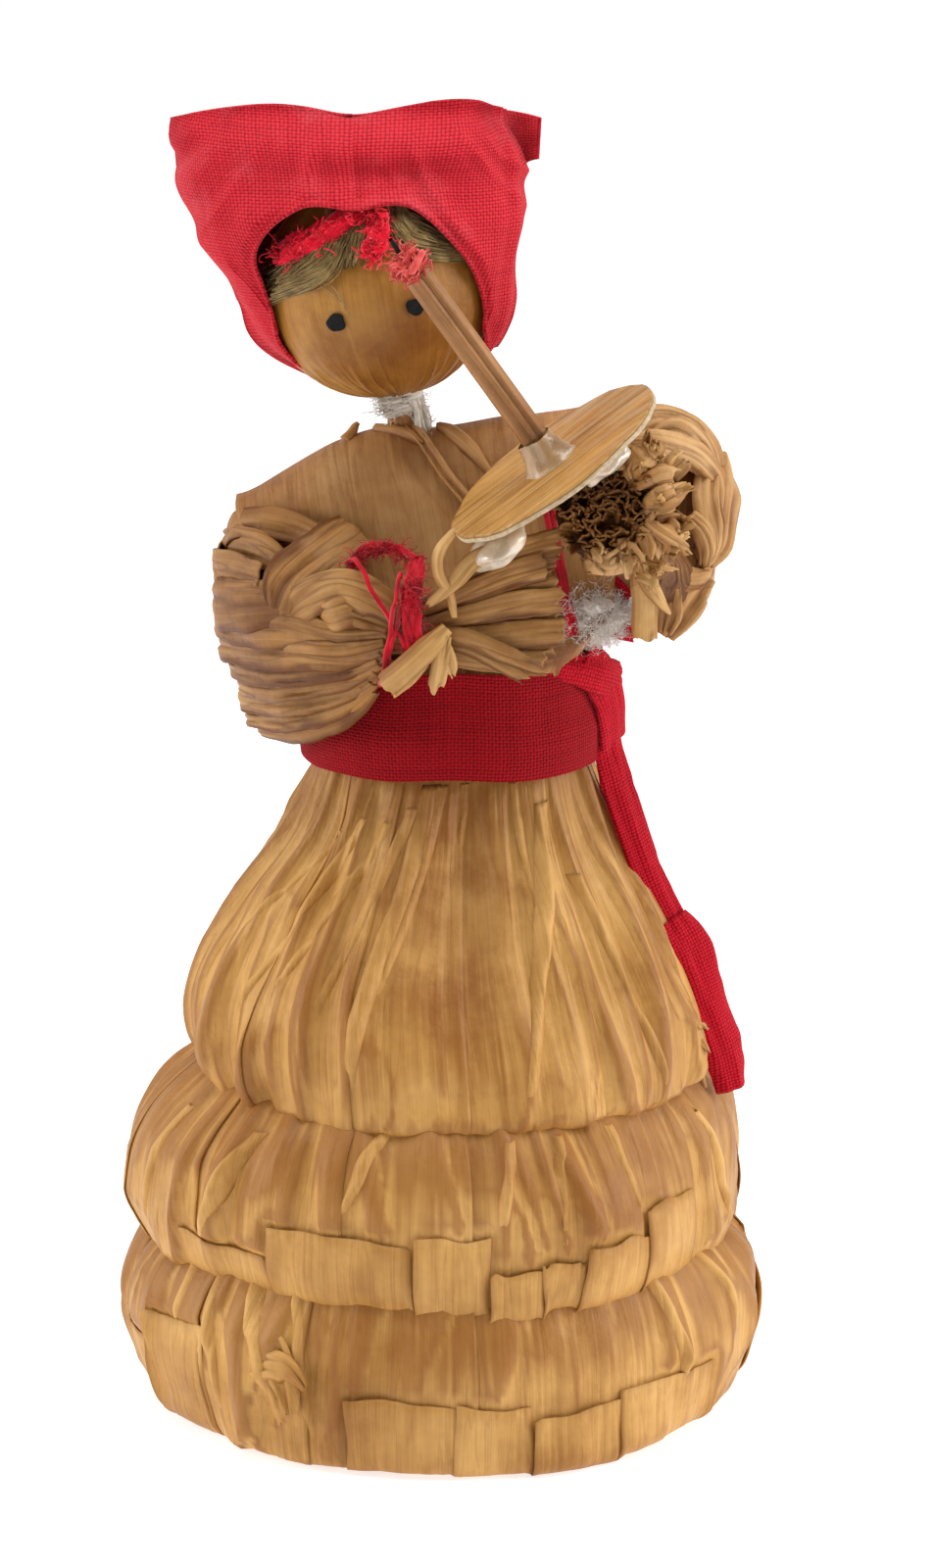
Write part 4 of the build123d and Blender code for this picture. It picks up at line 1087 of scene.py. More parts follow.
def make_right_arm():
    path = [(-26.0, -0.5, 129), (-25.6, -5, 119), (-22.4, -8.5, 109.5), (-17, -12.5, 111.5), (-6.5, -20.5, 117.5)]
    arm_core("arm_right_inner", path, 50, 3.6, 3.8, 3)
    arm = Shape()
    left, left_front, front = (-1, 0.1, 0.1), (-0.8, -0.7, 0.1), (-0.15, -1, 0.1)
    high, low = (0.0, -0.8, 0.6), (-0.1, -0.9, -0.35)
    straps = [  # points from the shoulder to the wrist, widths along the strap, and the way it faces
        ([(-25.5, 4.5, 130), (-27, 6, 122), (-26, 4, 113), (-23, 0, 105), (-21, -7, 102)],
         [8, 9, 9, 8, 6], [(0, 1, 0.1), (0, 1, -0.2), (0, 0.3, -1)]),
        ([(-22, 0, 129), (-21.5, -4, 120), (-19.5, -9, 112), (-13, -13, 112)],
         [8, 8, 8, 6], [(1, 0.3, 0), (1, 0.4, 0.2)]),
        ([(-28, 4, 126), (-31.4, 0, 124), (-31.2, -5, 120.5), (-28.6, -8, 116.4)],
         [6, 7, 7, 6], [left, left, left_front]),
        ([(-24.7, 1, 99.8), (-21.4, -9.4, 101.3), (-16.8, -14.4, 103.4), (-12.4, -18.4, 106.6), (-9.4, -21.4, 110.2)],
         [3, 4.2, 4.4, 4.0, 2.4], [(-0.9, -0.5, -0.3), low]),
        ([(-26.2, 1, 101.6), (-22.2, -10.6, 103.4), (-17.4, -15.8, 105.4), (-12.6, -19.6, 108.4), (-9.2, -22.8, 111.6)],
         [3.4, 4.4, 4.4, 4.0, 2.4], [left, low]),
        ([(-27.2, 0, 104.0), (-23.0, -11.4, 105.8), (-17.5, -17, 107.8), (-12.7, -20.8, 110.2), (-8.6, -23.8, 113.0)],
         [3.6, 4.4, 4.2, 3.8, 2.4], [left, low]),
        ([(-27.4, 1, 106.6), (-23.6, -12, 108.2), (-18.1, -18, 110.0), (-12.9, -21.8, 112.0), (-8.2, -24.6, 114.6)],
         [3.6, 4.4, 4.0, 3.6, 2.2], [left, front]),
        ([(-28.6, 1, 109.0), (-24.6, -12.6, 110.6), (-18.9, -18.8, 112.1), (-13.1, -22.4, 113.6), (-7.8, -25.0, 115.8)],
         [3.8, 4.4, 4.0, 3.6, 2.2], [left, front]),
        ([(-30.0, 1, 111.8), (-26.2, -12.2, 113.4), (-19.8, -18.8, 114.6), (-13.2, -22.6, 115.2), (-7.4, -25.0, 117.2)],
         [4.0, 5.0, 4.6, 4.0, 2.2], [left, front]),
        ([(-30.6, 1, 115.4), (-26.6, -12.4, 117.0), (-20.8, -17.8, 118.0), (-14.4, -21.2, 117.4), (-7.0, -24.6, 118.6)],
         [4.4, 6.0, 5.6, 4.4, 2.2], [left, front]),
        ([(-18.4, -17.4, 117.0), (-15.6, -21.2, 120.6), (-11.6, -23.0, 121.6), (-6.8, -24.6, 120.0)],
         [3.4, 4.6, 4.4, 2.6], [front, high]),
        ([(-30.0, 2, 117.6), (-32.0, -4, 118.6), (-28.4, -12.2, 120.2), (-22.8, -16.2, 121.4), (-18.0, -17.6, 121.8)],
         [6.4, 7.6, 7.8, 7.0, 5.0], [left, left_front, front]),
        ([(-12.0, -10.5, 131.0), (-17.0, -15.8, 128.2), (-21.2, -17.4, 124.6), (-22.8, -17.6, 120.8)],
         [6.4, 8.6, 8.0, 3.6], [(0.1, -0.8, 0.6), high, front]),
        ([(-30.8, 2, 122.6), (-32.0, -3.5, 123.6), (-29.4, -9.5, 124.6), (-25.2, -14.6, 124.4)],
         [5.0, 6.0, 5.8, 5.0], [left, left_front, front]),
        ([(-22.6, -15.6, 117.8), (-19.2, -19.2, 122.0), (-14.2, -22.0, 124.8), (-9.4, -24.0, 123.8),
          (-5.6, -25.0, 121.4)],
         [3.4, 5.2, 5.8, 5.4, 3.0], [(-0.2, -0.9, 0.4), front, high]),
        ([(-30.6, -1.0, 127.2), (-28.8, -6.0, 127.9), (-25.8, -10.4, 128.0), (-22.6, -13.4, 126.6)],
         [3.6, 5.2, 5.4, 3.4], [left_front, (-0.3, -0.9, 0.4)]),
        ([(-30.4, 1.5, 125.8), (-29.6, -4.0, 130.0), (-25.2, -7.8, 131.4), (-20.0, -9.8, 130.6), (-16.4, -12.6, 129.6)],
         [3.6, 4.6, 5.0, 4.6, 3.6], [left, (-0.4, -0.7, 0.7), high]),
    ]
    for i, (path, width, facing) in enumerate(straps):
        if 3 <= i <= 10:  # the long straps go on round behind the elbow
            x, z = path[0][0], path[0][2]
            path = [(x + 1.5, 5.5, z + 0.5), (x - 1.4, 0.0, z)] + path[1:]
            width, facing = [width[0]] + width, [(-0.4, 1, 0)] + facing
        arm.ribbon(path, width, facing, 0.36, 0.26, seed=40 + i, columns=15, curl=0.05)
    arm.make("arm_right_plait", HUSK_BRAID, "arms", 0.28, ["arm_braid_right", "arm_braid_shoulder"])

    hand = Shape()
    ends = [  # start height, end height, layer, width at the end
        (121.8, 131.8, -23.4, 4.4), (121.2, 128.8, -24.6, 4.0), (120.4, 126.4, -23.8, 3.6), (119.8, 123.9, -25.0, 3.8),
        (119.0, 121.6, -24.0, 3.4), (118.2, 119.3, -25.2, 3.8), (117.6, 117.0, -24.2, 3.4), (116.8, 114.8, -25.0, 3.6),
        (121.0, 130.6, -21.8, 5.0), (119.4, 124.8, -21.8, 5.0), (117.8, 118.4, -21.8, 5.0),
    ]
    for i, (start_z, end_z, layer, wide) in enumerate(ends):
        reach = 16.8 + 1.4 * lattice(7, i, 0, 0)
        path = [
            (-7.5, layer + 1.6, start_z), (-3.5, layer + 0.6, start_z), (2.6, layer - 1.4, 0.6 * start_z + 0.4 * end_z),
            (9.8, layer - 1.0, 0.2 * start_z + 0.8 * end_z), (reach, layer, end_z),
        ]
        facing = [(0, -1, 0.25 * lattice(6, i, 0, 0)), (0, -1, 0.2)]
        hand.ribbon(path, [2.2, 1.9, 2.8, wide, wide], facing, 0.3, 0.2, 1.1, 60 + i, 13)
    lowest = [(-0.6, -27.0, 119.4), (4.0, -28.2, 119.0), (8.6, -28.8, 117.2), (12.4, -28.4, 115.4), (15.0, -27.6, 114.2)]
    hand.ribbon(lowest,
                [1.8, 2.8, 2.8, 2.2, 1.4], [(0, -1, 0.3)], 0.25, 0.15, 0.8, 75, 11)
    hand.ribbon([(0.4, -27.2, 118.4), (4.8, -27.9, 117.6), (9.4, -28.2, 115.2), (13.4, -27.6, 112.8)],
                [1.8, 2.8, 2.8, 2.4], [(0, -1, 0.2)], 0.25, 0.15, 1.8, 76, 11)
    hand.make("hand_right_straps", HUSK_BRAID, "arms", 0.25, ["hand_right"])

    strapped(
        "hand_right_wisps", HUSK_STRAW, "arms", "husk_braid", 0.2, (),
        ([(2.6, -28.2, 134.6), (0.2, -29.2, 131.8), (0.0, -29.4, 128.6), (1.6, -29, 125.3), (2.2, -28.5, 122.1)],
         [1.2, 1.7, 1.7, 1.6, 1.0], [(-0.3, -1, 0.3), (-0.5, -1, 0)], 0.15, 0.1, 0.0, 81, 7),
        ([(10.0, -27.8, 132.0), (5.2, -28.8, 130.4), (2.0, -29.3, 127.0), (-1.7, -28.5, 123.8)],
         [2.6, 2.6, 2.2, 1.2], [(0, -1, 0.4)], 0.2, 0.1, 0.6, 82, 9),
    )
    strapped(
        "wrist_husk_bow", HUSK_STRAW, "arms", "husk_braid", 0.22, ["wrist_ribbon_right"],
        ([(1.2, -29.0, 120.6), (-1.7, -30.2, 117.8), (-5.3, -29.9, 114.4), (-7.8, -28.5, 112.0)],
         [2.0, 3.4, 3.8, 3.4], [(-0.1, -1, 0.2)], 0.25, 0.2, 0.6, 71, 11),
        ([(-2.0, -29.2, 116.0), (-4.6, -29.2, 113.6), (-6.6, -28.6, 110.8)],
         [1.8, 2.6, 1.2], [(0.2, -1, 0.1)], 0.25, 0.2, 0.6, 77, 9),
        ([(1.0, -29.4, 119.6), (0.2, -29.8, 115.6), (-0.6, -28.8, 110.8)],
         [1.6, 2.4, 2.2], [(0.1, -1, 0)], 0.2, 0.2, 1.4, 72, 9),
        ([(0.9, -29.2, 118.8), (1.4, -29.4, 115.6), (2.0, -28.8, 113.0)],
         [1.2, 2.4, 1.0], [(0.3, -1, 0)], 0.2, 0.2, 1.0, 74, 9),
    )


def make_left_arm():
    path = [
        (24, 0.5, 139.6), (32, 0.5, 140), (35.5, -2, 134), (35.4, -7, 126), (33.5, -9.5, 123), (29.5, -15.5, 127.5),
        (25.5, -21, 133.0),
    ]
    arm_core("arm_left_inner", path, 60, 4.2, 4.4, 5)
    arm = Shape()
    straps = [  # as for the right arm, round the loop from the shoulder
        ([(24, 4, 141), (32, 4.5, 142), (37, 2, 137), (38.5, -1, 129), (35.5, -4, 121.5)],
         [7, 8, 8.5, 8.5, 7], [(0, 0.8, 0.7), (0.6, 0.8, 0.3), (0.9, 0.5, -0.3)]),
        ([(35, 3, 140), (34.5, 3.5, 131), (33, 1, 123), (31, -5, 118.5)],
         [7, 8, 8, 6], [(-0.1, 1, 0), (-0.1, 1, -0.3)]),
        ([(30.5, -2, 137), (30, -6, 129), (29, -9, 122)], [8, 8, 7], [(-1, -0.2, 0), (-1, 0, 0)]),
        ([(24.0, -4, 143.0), (30.0, -3.5, 145.2), (35.6, -3.5, 144.0), (38.8, -3.5, 140.0)],
         [6, 7, 7, 5.5], [(0, -0.5, 1), (0.8, -0.5, 0.5)]),
        ([(25.2, -9.4, 143.8), (30.6, -8, 146.2), (35.4, -6.5, 145.0), (38.4, -5.8, 142.0), (39.6, -5, 138.6)],
         [3.4, 4.4, 4.4, 4.0, 3.0], [(0, -0.85, 0.5), (0.5, -0.8, 0.3)]),
        ([(30.6, -9.5, 143.8), (33.6, -9.6, 144.8), (36.4, -8.6, 142.4), (38.4, -8.0, 139.4)],
         [2.6, 4.6, 4.4, 2.8], [(0.1, -0.9, 0.4), (0.5, -0.9, 0.1)]),
        ([(39.6, -3, 140.5), (40.6, -6, 136.7), (40.3, -8, 132.6), (39.9, -8.4, 128.6), (37.2, -9.2, 125.3)],
         [4.4, 6.4, 6.8, 6.4, 4.6], [(0.8, -0.7, 0), (0.7, -0.8, 0)]),
        ([(38.6, -6.5, 139.6), (38.0, -10.5, 136.0), (38.6, -11.6, 132.0), (38.6, -11.2, 128.4), (36.8, -11, 125.6)],
         [3.0, 4.4, 4.6, 4.2, 3.0], [(0.3, -1, 0), (0.5, -0.9, 0)]),
        ([(35.6, -12.4, 133.2), (37.4, -12.9, 131.4), (38.2, -12.6, 128.9), (37.8, -11.8, 126.3)],
         [2.4, 3.2, 3.0, 2.0], [(0.1, -1, 0.2), (0.4, -0.9, 0)]),
        ([(38.6, -4, 126.5), (38.0, -8, 122.8), (35.0, -10.6, 119.4), (31.5, -11.6, 117.0)],
         [5, 6.4, 6.4, 5], [(0.8, -0.5, -0.4), (0.4, -0.8, -0.4)]),
        ([(38.6, -9.6, 124.2), (36.2, -12.2, 123.2), (34.0, -13.2, 120.2), (31.6, -13.2, 116.4)],
         [2.8, 6.2, 6.8, 4.8], [(0.4, -0.9, 0.1), (0.2, -1, -0.1)]),
        ([(30.4, -12.6, 126.4), (33.2, -13.9, 125.2), (36.2, -13.2, 124.6), (38.4, -11.8, 124.8)],
         [3.0, 4.2, 4.0, 1.6], [(0, -0.9, 0.4)]),
        ([(33.0, -14.4, 125.6), (32.9, -14.9, 122.6), (32.8, -14.6, 119.6), (32.2, -13.8, 116.8)],
         [2.0, 3.4, 3.6, 2.0], [(-0.2, -1, 0)]),
        ([(22.6, -13, 143.6), (27.6, -14.6, 144.4), (32.6, -13.4, 143.6), (36.6, -10.4, 141.6), (39.2, -7.6, 138.2)],
         [2.6, 3.6, 4.2, 4.4, 3.4], [(0, -0.9, 0.5), (0.3, -0.9, 0.3)]),
    ]
    for i, (path, width, facing) in enumerate(straps):
        arm.ribbon(path, width, facing, 0.35, 0.5, seed=140 + i, columns=15, curl=0.1)
    arm.make("arm_left_plait", HUSK_LOOP, "arms", 0.28, ["arm_braid_left", "wrist_thread_left"])

    # the cut end of the plait: crinkled husk edges round a hollow, seen end on, its darkness painted as shade
    mouth = np.array([23.4, -24.6, 136.6])
    outward = unit(np.array([-0.12, -0.95, 0.28]))
    side = unit(np.cross(outward, UP))
    top = np.cross(side, outward)
    curls = Shape()
    count, around, deep = 24, np.arange(44), 10
    for i in range(count):
        a = 2.399963 * i  # the golden angle spreads the curls evenly
        r = 6.0 * math.sqrt((i + 0.3) / count)
        hub = mouth + side * r * math.cos(a) + top * r * math.sin(a)
        spin = np.linspace(0, 2 * math.pi * (0.7 + 0.3 * lattice(31, i, 0, 0)), len(around)) + 2 * a
        loop = 1.7 + 0.5 * lattice(32, i, 0, 0) + 0.3 * np.sin(spin * 3 + i) + 0.5 * noise(36 + i, spin * 0.9)
        ring = hub + loop[:, None] * (np.cos(spin)[:, None] * side + 0.8 * np.sin(spin)[:, None] * top)
        depth = np.linspace(-4.0, 0.5 * lattice(33, i, 0, 0) + 0.2, deep)
        flare = np.linspace(0.35, 1.15, deep)[:, None, None]
        points = hub + (ring - hub)[None] * flare + depth[:, None, None] * outward
        points = points + 0.6 * noise(34 + i, around[None] * 0.35, depth[:, None] * 0.5)[..., None] * side
        points = points + 0.5 * noise(44 + i, around[None] * 0.4, depth[:, None] * 0.4)[..., None] * top
        points[-1] += outward * (0.5 * noise(35 + i, around * 0.5))[:, None]
        # painted shade: darker deeper in the hollow
        tone = np.linspace(-1.0, 0.5, deep)[:, None] ** 3 + 0 * spin[None]
        curls.grid(points, laid(around[None] * 0.35, depth[:, None] + 5 * i), tone)
    turn, ring = sweep(40, 12, 0.02)
    x, y = ring * np.cos(turn), ring * np.sin(turn)
    floor = placed(mouth - 2.6 * outward, (7.2 * x, side), (7.2 * y, top), (0.6 * noise(37, 6 * x, 6 * y), outward))
    # the hollow's floor, all in painted shade
    curls.grid(floor, laid(7 * ring, 7 * turn), -1.0)
    curls.make("hand_left_curls", HUSK_CURL, "arms", 0.26, ["hand_left"])

    petals = Shape()
    for i in range(22):
        chance = {k: lattice(k, i, 0, 0) for k in range(41, 48)}
        a = 1.3 + 3.6 * (i % 11) / 10 + 0.2 * chance[41]  # the doll's left and the underside
        outer = i // 11  # two rows of petals
        sideways = max(0.0, -math.cos(a))
        out = about(a, side, top)
        tangent = np.cross(out, outward)
        reach = 7.0 + 0.8 * chance[42] + 1.6 * outer * sideways
        far = reach + 1.0 + 2.6 * sideways * (0.6 + 0.5 * chance[44])
        path = [
            mouth + out * 5.8 - outward * 6, mouth + out * 6.4 - outward * (2.4 + outer),
            mouth + out * reach - outward * 0.4,
            mouth + out * far - outward * (0.6 + 2.0 * sideways) + 1.6 * chance[46] * tangent,
        ]
        tilt = out * 0.6 * chance[47] + outward + 0.9 * chance[43] * tangent
        petals.ribbon(path, [1.6, 3.0, 4.6, 2.6 + chance[45]], tilt, 0.2, 0.8, 2.4, 160 + i, 13, 0.1)
    petals.ribbon([(20.8, -25.2, 129.9), (23.8, -26.4, 128.9), (27.0, -25.4, 130.6), (28.4, -23.6, 132.8)],
                  [1.6, 4.2, 4.4, 2.6], [(0.1, -0.9, -0.3)], 0.6, 0.5, 1.2, 190, 13, 0.5)
    petals.make("hand_left_petals", HUSK_LOOP, "arms", 0.22)

    straws = Shape()
    for i in range(74):
        turn_at = rng.uniform(-1.25, 0.95)
        reach = rng.uniform(6.6, 11.0)
        start = mouth + math.cos(turn_at) * reach * np.array([1.0, 0.0, 0.0]) + math.sin(turn_at) * reach * UP
        start = start + np.array([0, rng.uniform(1.0, 5.5), 0])
        aim = np.array([math.cos(turn_at + 0.4), 0.0, math.sin(turn_at + 0.4)])
        end = start + aim * rng.uniform(1.0, 3.4) + rng.normal(0, 1.0, 3) + FRONT * rng.uniform(0.4, 2.4)
        wide = 1.3 + 1.7 * rng.uniform()
        path = [start, (start + end) / 2 + rng.normal(0, 0.5, 3), end]
        widths = [wide, wide, wide * (0.2 + 0.6 * rng.uniform())]
        facing = [(rng.uniform(-0.8, 0.8), -0.8, rng.uniform(-0.6, 0.9))]
        straws.ribbon(path, widths, facing, 0.25, 0.25, 1.4, 200 + i, 8, 0.2)
    straws.make("hand_left_frayed", HUSK_STRAW, "arms", 0.18)

    strapped(
        "hand_left_strip", HUSK_STRAW, "arms", "husk_braid", 0.22, ["hand_strip_left"],
        ([(27.8, -21.5, 130.6), (28.9, -22.6, 127), (29.1, -22.0, 121.3), (29.2, -20.0, 116.8)],
         [2.4, 3.8, 3.8, 3.6], [(-0.1, -1, 0)], 0.3, 0.3, 0.7, 91, 11),
        ([(27.2, -22.8, 130.2), (29.2, -23.9, 126.6), (31.0, -23.4, 123.6), (32.6, -21.6, 121.2)],
         [1.8, 2.6, 1.8, 0.5], [(0.2, -1, 0.2)], 0.3, 0.1, 0.3, 92, 8, 0.3),
    )


# ================================================================ red thread
def make_threads():
    thread = Shape()
    yarn_r = 0.34
    crossing = [
        [(-12.6, -20.4, 128.2), (-11.4, -23.4, 128.6), (-8.6, -26.6, 124.4), (-5.8, -28.4, 119.8),
         (-3.6, -29.0, 116.4)],
        [(-5.2, -25.4, 127.6), (-5.8, -27.8, 124.6), (-6.8, -28.6, 119.4), (-8.0, -26.8, 113.0), (-8.2, -22.0, 110.8)],
        [(-4.4, -25.8, 127.4), (-5.0, -27.8, 124.0), (-6.2, -28.4, 119.0), (-7.2, -26.6, 113.2), (-7.6, -22.0, 110.8)],
    ]
    for i in range(6):  # lengths side by side down the front of the wrist
        across = 0.36 * i
        crossing.append([
            (-3.6 + 0.3 * i, -23.6, 129.6), (-4.4 + across, -27.2, 127.0), (-4.6 + across, -28.6, 122.4),
            (-4.0 + across, -28.8, 117.4),
        ])
    for i in range(4):  # the loop over the top
        crossing.append([
            (-12.4, -20.2, 127.2 + 0.3 * i), (-10.6, -20.6, 129.4 + 0.35 * i), (-6.6, -21.8, 130.2 + 0.3 * i),
            (-3.2, -23.8, 129.6),
        ])
    for i, path in enumerate(crossing):
        thread.tube(through(path, 40) + 0.25 * wandering(i, np.arange(40) * 0.3, 1), yarn_r, 7, i, 0.45)
    for i in range(3):
        turn = ring_path((-4.6 + 0.6 * i, -21.4, 119.4), unit(np.array([1.0, 0.1, 0.2 * i])), 5.6, 1, 0.2, 60, i)
        thread.tube(turn, yarn_r, 7, i, 0.45)
    for i in range(420):
        t = rng.uniform()
        if rng.uniform() < 0.5:
            start = np.array([-12.4 + 10.0 * t, -21.0 - 2.0 * t, 128.2 + 2.4 * math.sin(3.1 * t)])
        else:
            start = np.array([-3.4 + rng.uniform(-1.2, 1.2), -28.4, 128.0 - 11.0 * t])
        end = start + rng.normal(0, 0.8, 3) * (1.4, 0.6, 1.3)
        thread.tube(strand(start, end, rng.normal(0, 0.35, 3), i, 6, 0.5), 0.04 + 0.03 * rng.uniform(), 4, i)
    thread.make("wrist_red_thread", THREAD_RED, "arms", 0, ["wrist_thread_right"])

    chest = Shape()
    for i in range(4):
        path = chest_point(np.linspace(14.4, 15.0, 30) + 0.35 * i, np.linspace(9, 34, 30), 1.35 + 0.2 * (i % 2))
        chest.tube(path, yarn_r, 6, i, 0.5)
    for i in range(5):
        down = np.linspace(17, 13 + i, 30) + 0.5 * noise(i, np.arange(30) * 0.3)
        chest.tube(chest_point(np.linspace(15.5, 23.5, 30), down, 1.6), yarn_r, 6, i, 0.5)
    chest.make("chest_red_thread", THREAD_RED, "figure", 0, ["chest_thread"])


# ================================================================ saucer and candle
def make_saucer():
    node = frame["nodes"]["saucer_husk"]
    corners = np.array([v.co for v in node.data.vertices]) / MM
    centre = corners.mean(0)
    normal = np.linalg.svd(corners - centre)[2][2]
    normal = normal * math.copysign(1, normal[2])
    uphill = np.array([0.81, 0.141, 0.571])  # the saucer's long way in the photograph
    major = unit(uphill - normal * (uphill @ normal))
    minor = np.cross(normal, major)
    radius = np.linalg.norm(corners - centre, axis=1).max()
    turn, ring = sweep(160, 40, 0.001)
    uneven = 1 + 0.02 * noise(51, np.cos(turn) * 3, np.sin(turn) * 3)
    x, y = radius * ring * uneven * np.cos(turn), 0.9 * radius * ring * uneven * np.sin(turn)
    bend = 0.35 * noise(52, x * 0.1, y * 0.14) + 0.12 * creases(53, y * 0.45, x * 0.02)
    dish = Shape()
    dish.grid(placed(centre, (x, major), (y, minor), (bend + 0.15, normal)), laid(y, x))
    dish.make("saucer_face", HUSK_SAUCER, "arms", 0.35, ["saucer_husk"])
    under = Shape()
    under.grid(placed(centre, (1.005 * x, major), (1.005 * y, minor), (bend - 0.42, normal)), laid(x, y))
    under.make("saucer_back", CARD_PALE, "arms", 0.62, ["saucer_card"])
    return centre, normal, major, minor


def make_candle(centre, normal, major, minor):
    candle = Shape()
    length = 33.0
    t = np.linspace(0, 1, 60)
    turn, cap = sweep(29, 8, 1, 0.02)
    for k, (shift, size) in enumerate([(-0.6, 1.25), (0.8, 1.05)]):  # two husk rolls side by side
        path = centre + major * shift + normal * (0.4 + length * t)[:, None] + 0.18 * minor * np.sin(5 * t)[:, None]
        dents = creases(61 + k, np.cos(turn) * 2.5 + 0 * t[:, None], np.sin(turn) * 2.5 + t[:, None] * 1.2)
        lap = 0.25 * blended(4.6, 5.2, turn + 0.5 * t[:, None]) * (1 - blended(6.0, 6.28, turn + 0 * t[:, None]))
        r = size * (1 + 0.07 * dents) + lap
        points = placed(path[:, None], (r * np.cos(turn), major), (r * np.sin(turn), minor))
        candle.grid(points, laid(r * turn + 20 * k, length * t[:, None]))
        lid = placed(path[-1], (cap * r[-1:] * np.cos(turn), major), (cap * r[-1:] * np.sin(turn), minor))
        candle.grid(lid + (0.3 * creases(63, cap * 5))[..., None] * normal, laid(cap, turn))
    candle.make("candle_roll", HUSK_CANDLE, "arms", 0, ["candle_wrap", "candle_core"])

    tip = centre + normal * (length + 2.0)
    flame = Shape()
    for i in range(330):
        out = unit(rng.normal(0, 1, 3))
        start = tip + out * rng.uniform(0.2, 1.7)
        end = start + out * rng.uniform(0.4, 1.5) + rng.normal(0, 0.7, 3)
        flame.tube(strand(start, end, rng.normal(0, 0.5, 3), i + 300, 6, 0.6), 0.07 + 0.07 * rng.uniform(), 4, i)
    for i in range(7):
        loop = ring_path(tip + rng.normal(0, 0.4, 3), rng.normal(0, 1, 3), 1.3 + 0.4 * rng.uniform(), 1.2, 0.6, 24, i)
        flame.tube(loop, 0.5, 6, i, 0.4)
    flame.make("flame_fluff", FLAME, "arms", 0, ["flame_tuft"])
    wick = Shape()
    wick.tube(strand(tip, tip + normal * 4.6, 0.4 * minor, 5, 10, 0.3), np.linspace(0.5, 0.3, 10), 8, 2, 0.3)
    wick.make("candle_wick_thread", INK, "arms", 0, ["candle_wick"])


def glue_blob(name, centre, size, flatten, seed, node):
    """A lump of set glue that slumps along flatten."""
    turn, tilt = sweep(37, 25, 0.02, math.pi - 0.02)
    ball = sphere(turn, tilt)
    lump = 1 + 0.3 * noise(seed, ball[..., 0] * 1.8, ball[..., 1] * 1.8, ball[..., 2] * 1.8)
    points = ball * (lump * size)[..., None]
    axis = unit(np.asarray(flatten, float))
    points = points - 0.5 * (points @ axis)[..., None] * axis
    blob = Shape()
    blob.grid(points + np.asarray(centre), laid(turn, tilt))
    blob.make(name, GLUE, "arms", 0, [node])


def make_glue(centre, normal, major, minor):
    foot = Shape()
    turn, h = sweep(49, 16)
    r = 4.3 - 2.0 * h**0.55 + 0.5 * noise(71, np.cos(turn) * 2, np.sin(turn) * 2, h * 2)
    points = placed(centre, (r * np.cos(turn), major), (r * np.sin(turn), minor), (0.3 + 4.2 * h, normal))
    foot.grid(points, laid(turn, h))
    foot.make("glue_candle_foot", GLUE_AMBER, "arms", 0, ["glue_candle"])
    glue_blob("glue_under_right", (8.6, -26.8, 131.6), 4.4, normal, 81, "glue_hand_right")
    glue_blob("glue_under_left", (22.6, -25.4, 143.6), 4.2, normal, 82, "glue_hand_left")


# ================================================================ wadding
TUFT = np.array([21.6, -8.5, 118.4])  # where the wadding shows beside the left hand
TUFT_SIZE = np.array([5.4, 4.4, 3.8])


def make_wadding():
    fluff = Shape()
    turn, h = sweep(90, 46)
    swell = np.sin(h * math.pi) ** 0.5
    r = 1 + 0.06 * noise(91, np.cos(turn) * 3, np.sin(turn) * 3, h * 4)
    r = r + 0.03 * noise(92, np.cos(turn) * 9, np.sin(turn) * 9, h * 12)
    x, y = WAIST_X + 19.8 * r * swell * np.cos(turn), 12.8 * r * swell * np.sin(turn)
    fluff.grid(np.stack([x, y, 105.5 + 17 * h + 0 * turn], axis=-1), laid(turn * 18, h * 16))
    ball = sphere(turn, math.pi * h)
    lump = 1 + 0.25 * noise(93, *(ball[..., k] * 2.2 for k in range(3)))
    lump = lump + 0.12 * noise(94, *(ball[..., k] * 7 for k in range(3)))
    fluff.grid(TUFT + ball * lump[..., None] * TUFT_SIZE, laid(turn * 4, h * 12))
    for i in range(2600):
        out = unit(rng.normal(0, 1, 3))
        start = TUFT + out * rng.uniform(0.85, 1.2) * TUFT_SIZE
        end = start + rng.normal(0, 1.0, 3) + 0.4 * out
        line = strand(start, end, rng.normal(0, 0.7, 3), i + 50, 6, 0.6)
        fluff.tube(line, 0.022 + 0.02 * rng.uniform(), 3, i)
    piece = fluff.make("wadding_fluff", COTTON, "figure", 0, ["torso_wadding"])


def dress_inner_nodes():
    """The CAD pieces that stay: mostly hidden cores and card, each with its own procedural finish."""
    finish = {
        "base_card": CARD, "skirt_cone": CARD, "torso_core": HUSK_BODY,
        "tier_ties": WOOL_WHITE, "waist_tie": WOOL_WHITE,
    }
    for name, material in finish.items():
        mesh = frame["nodes"][name].data
        if not mesh.uv_layers:
            mesh.uv_layers.new(name="flat")
        mesh.materials.clear()
        mesh.materials.append(material)


# ================================================================ stage
def area_light(name, place, target, size, watts):
    data = bpy.data.lights.new(name, "AREA")
    data.shape = "SQUARE"
    data.size = size
    data.energy = watts
    lamp = bpy.data.objects.new(name, data)
    lamp.location = place
    lamp.rotation_euler = (Vector(target) - Vector(place)).to_track_quat("-Z", "Y").to_euler()
    bpy.context.collection.objects.link(lamp)


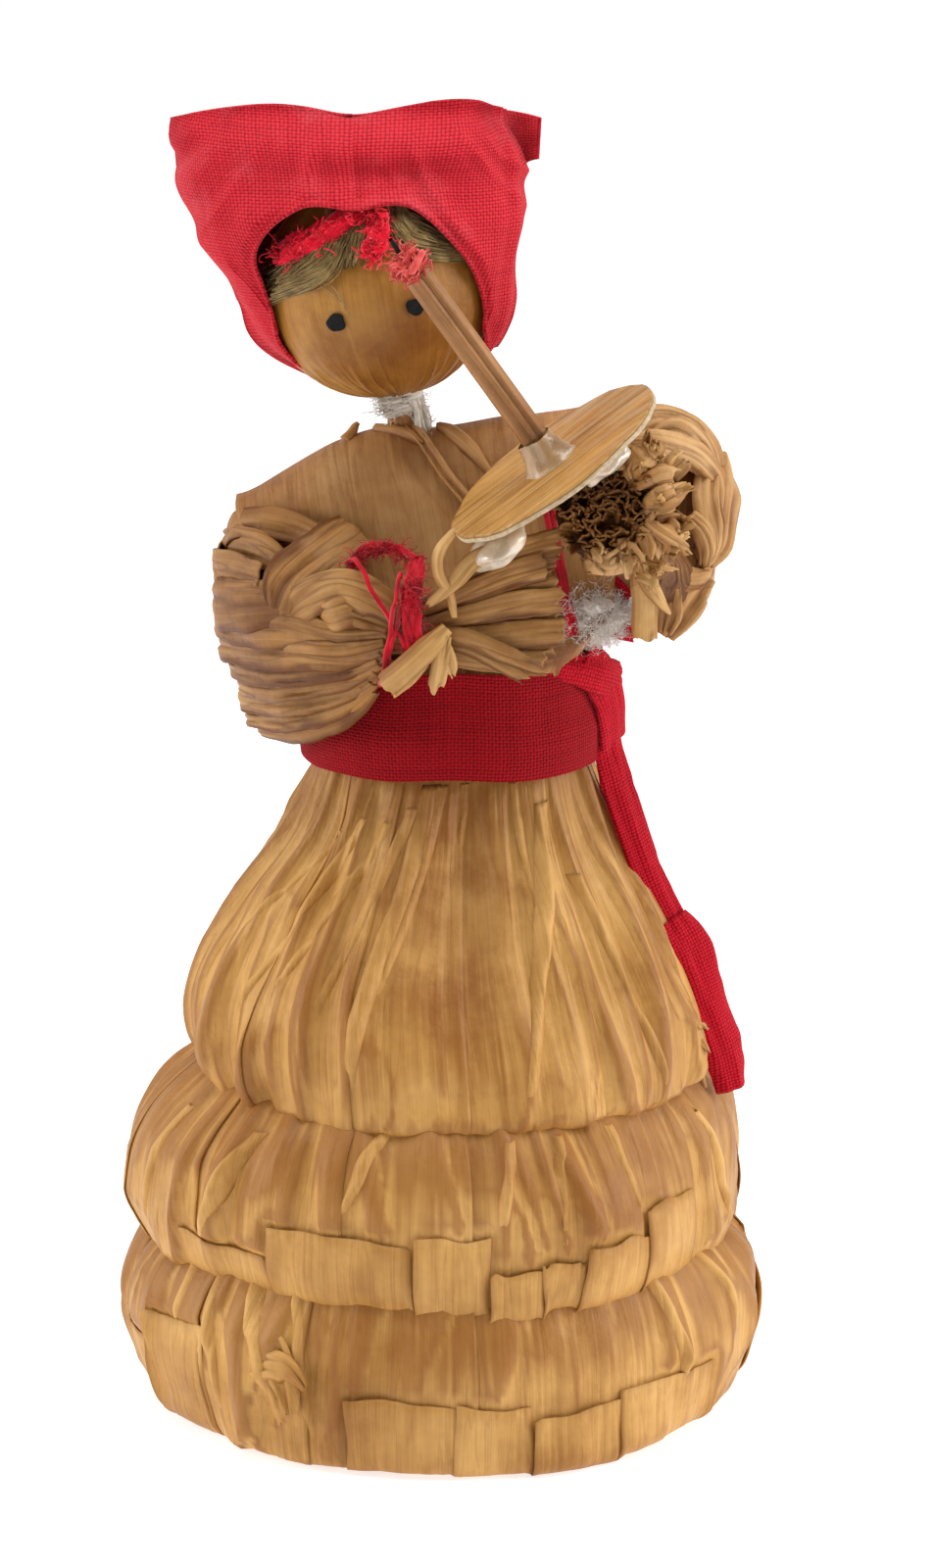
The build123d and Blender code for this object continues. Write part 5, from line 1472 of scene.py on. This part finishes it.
def make_stage():
    floor = bpy.data.meshes.new("floor")
    half = 14.0  # metres, so the paper fills every view
    corners = [(-half, -half, 0), (half, -half, 0), (half, half, 0), (-half, half, 0)]
    floor.from_pydata(corners, [], [(0, 1, 2, 3)])
    floor_piece = bpy.data.objects.new("floor", floor)
    bpy.context.collection.objects.link(floor_piece)
    paper = bpy.data.materials.new("white_paper")
    paper.use_nodes = True
    finish = {
        "Base Color": (0.62, 0.615, 0.62, 1), "Roughness": 0.9, "Specular IOR Level": 0.1,
        "Emission Color": (1, 0.99, 1, 1), "Emission Strength": 0.72,
    }
    for socket, value in finish.items():
        paper.node_tree.nodes["Principled BSDF"].inputs[socket].default_value = value
    floor.materials.append(paper)

    # a white tent: bright behind and above, dimmer on the camera's side
    world = bpy.data.worlds.new("studio")
    world.use_nodes = True
    tree = world.node_tree
    background = tree.nodes["Background"]
    direction = tree.nodes.new("ShaderNodeTexCoord")
    split = tree.nodes.new("ShaderNodeSeparateXYZ")
    shade = tree.nodes.new("ShaderNodeMapRange")
    tree.links.new(direction.outputs["Generated"], split.inputs[0])
    tree.links.new(split.outputs["Y"], shade.inputs["Value"])
    for socket, value in (("From Min", -0.9), ("From Max", 0.3), ("To Min", 0.10), ("To Max", 0.62)):
        shade.inputs[socket].default_value = value
    tree.links.new(shade.outputs["Result"], background.inputs["Strength"])
    background.inputs["Color"].default_value = (1.0, 1.0, 1.0, 1)
    bpy.context.scene.world = world

    target = (0.0, 0.0, 0.09)  # the doll's middle
    area_light("left_softbox", (-0.9, -0.05, 0.40), target, 0.6, 4.6)
    area_light("right_softbox", (0.9, -0.10, 0.40), target, 0.6, 5.8)
    area_light("top_softbox", (0.05, -0.15, 0.98), target, 0.5, 5.2)

    camera = bpy.data.cameras.new("camera")
    camera.lens = 137.8
    camera.sensor_width = 36.0
    camera.clip_start = 0.05
    eye = bpy.data.objects.new("camera", camera)
    pitch = math.radians(13.9)
    distance = 0.875
    aim = Vector((0.004, 0.0, 0.091))
    eye.location = aim + distance * Vector((0, -math.cos(pitch), math.sin(pitch)))
    eye.rotation_euler = (math.radians(90) - pitch, 0, 0)
    bpy.context.collection.objects.link(eye)
    bpy.context.scene.camera = eye
    bpy.context.scene.view_settings.view_transform = "Standard"


make_stage()
make_skirt()
make_torso()
make_sash()
make_head()
make_hair()
make_kerchief()
make_neck()
make_right_arm()
make_left_arm()
make_threads()
saucer = make_saucer()
make_candle(*saucer)
make_glue(*saucer)
make_wadding()
dress_inner_nodes()
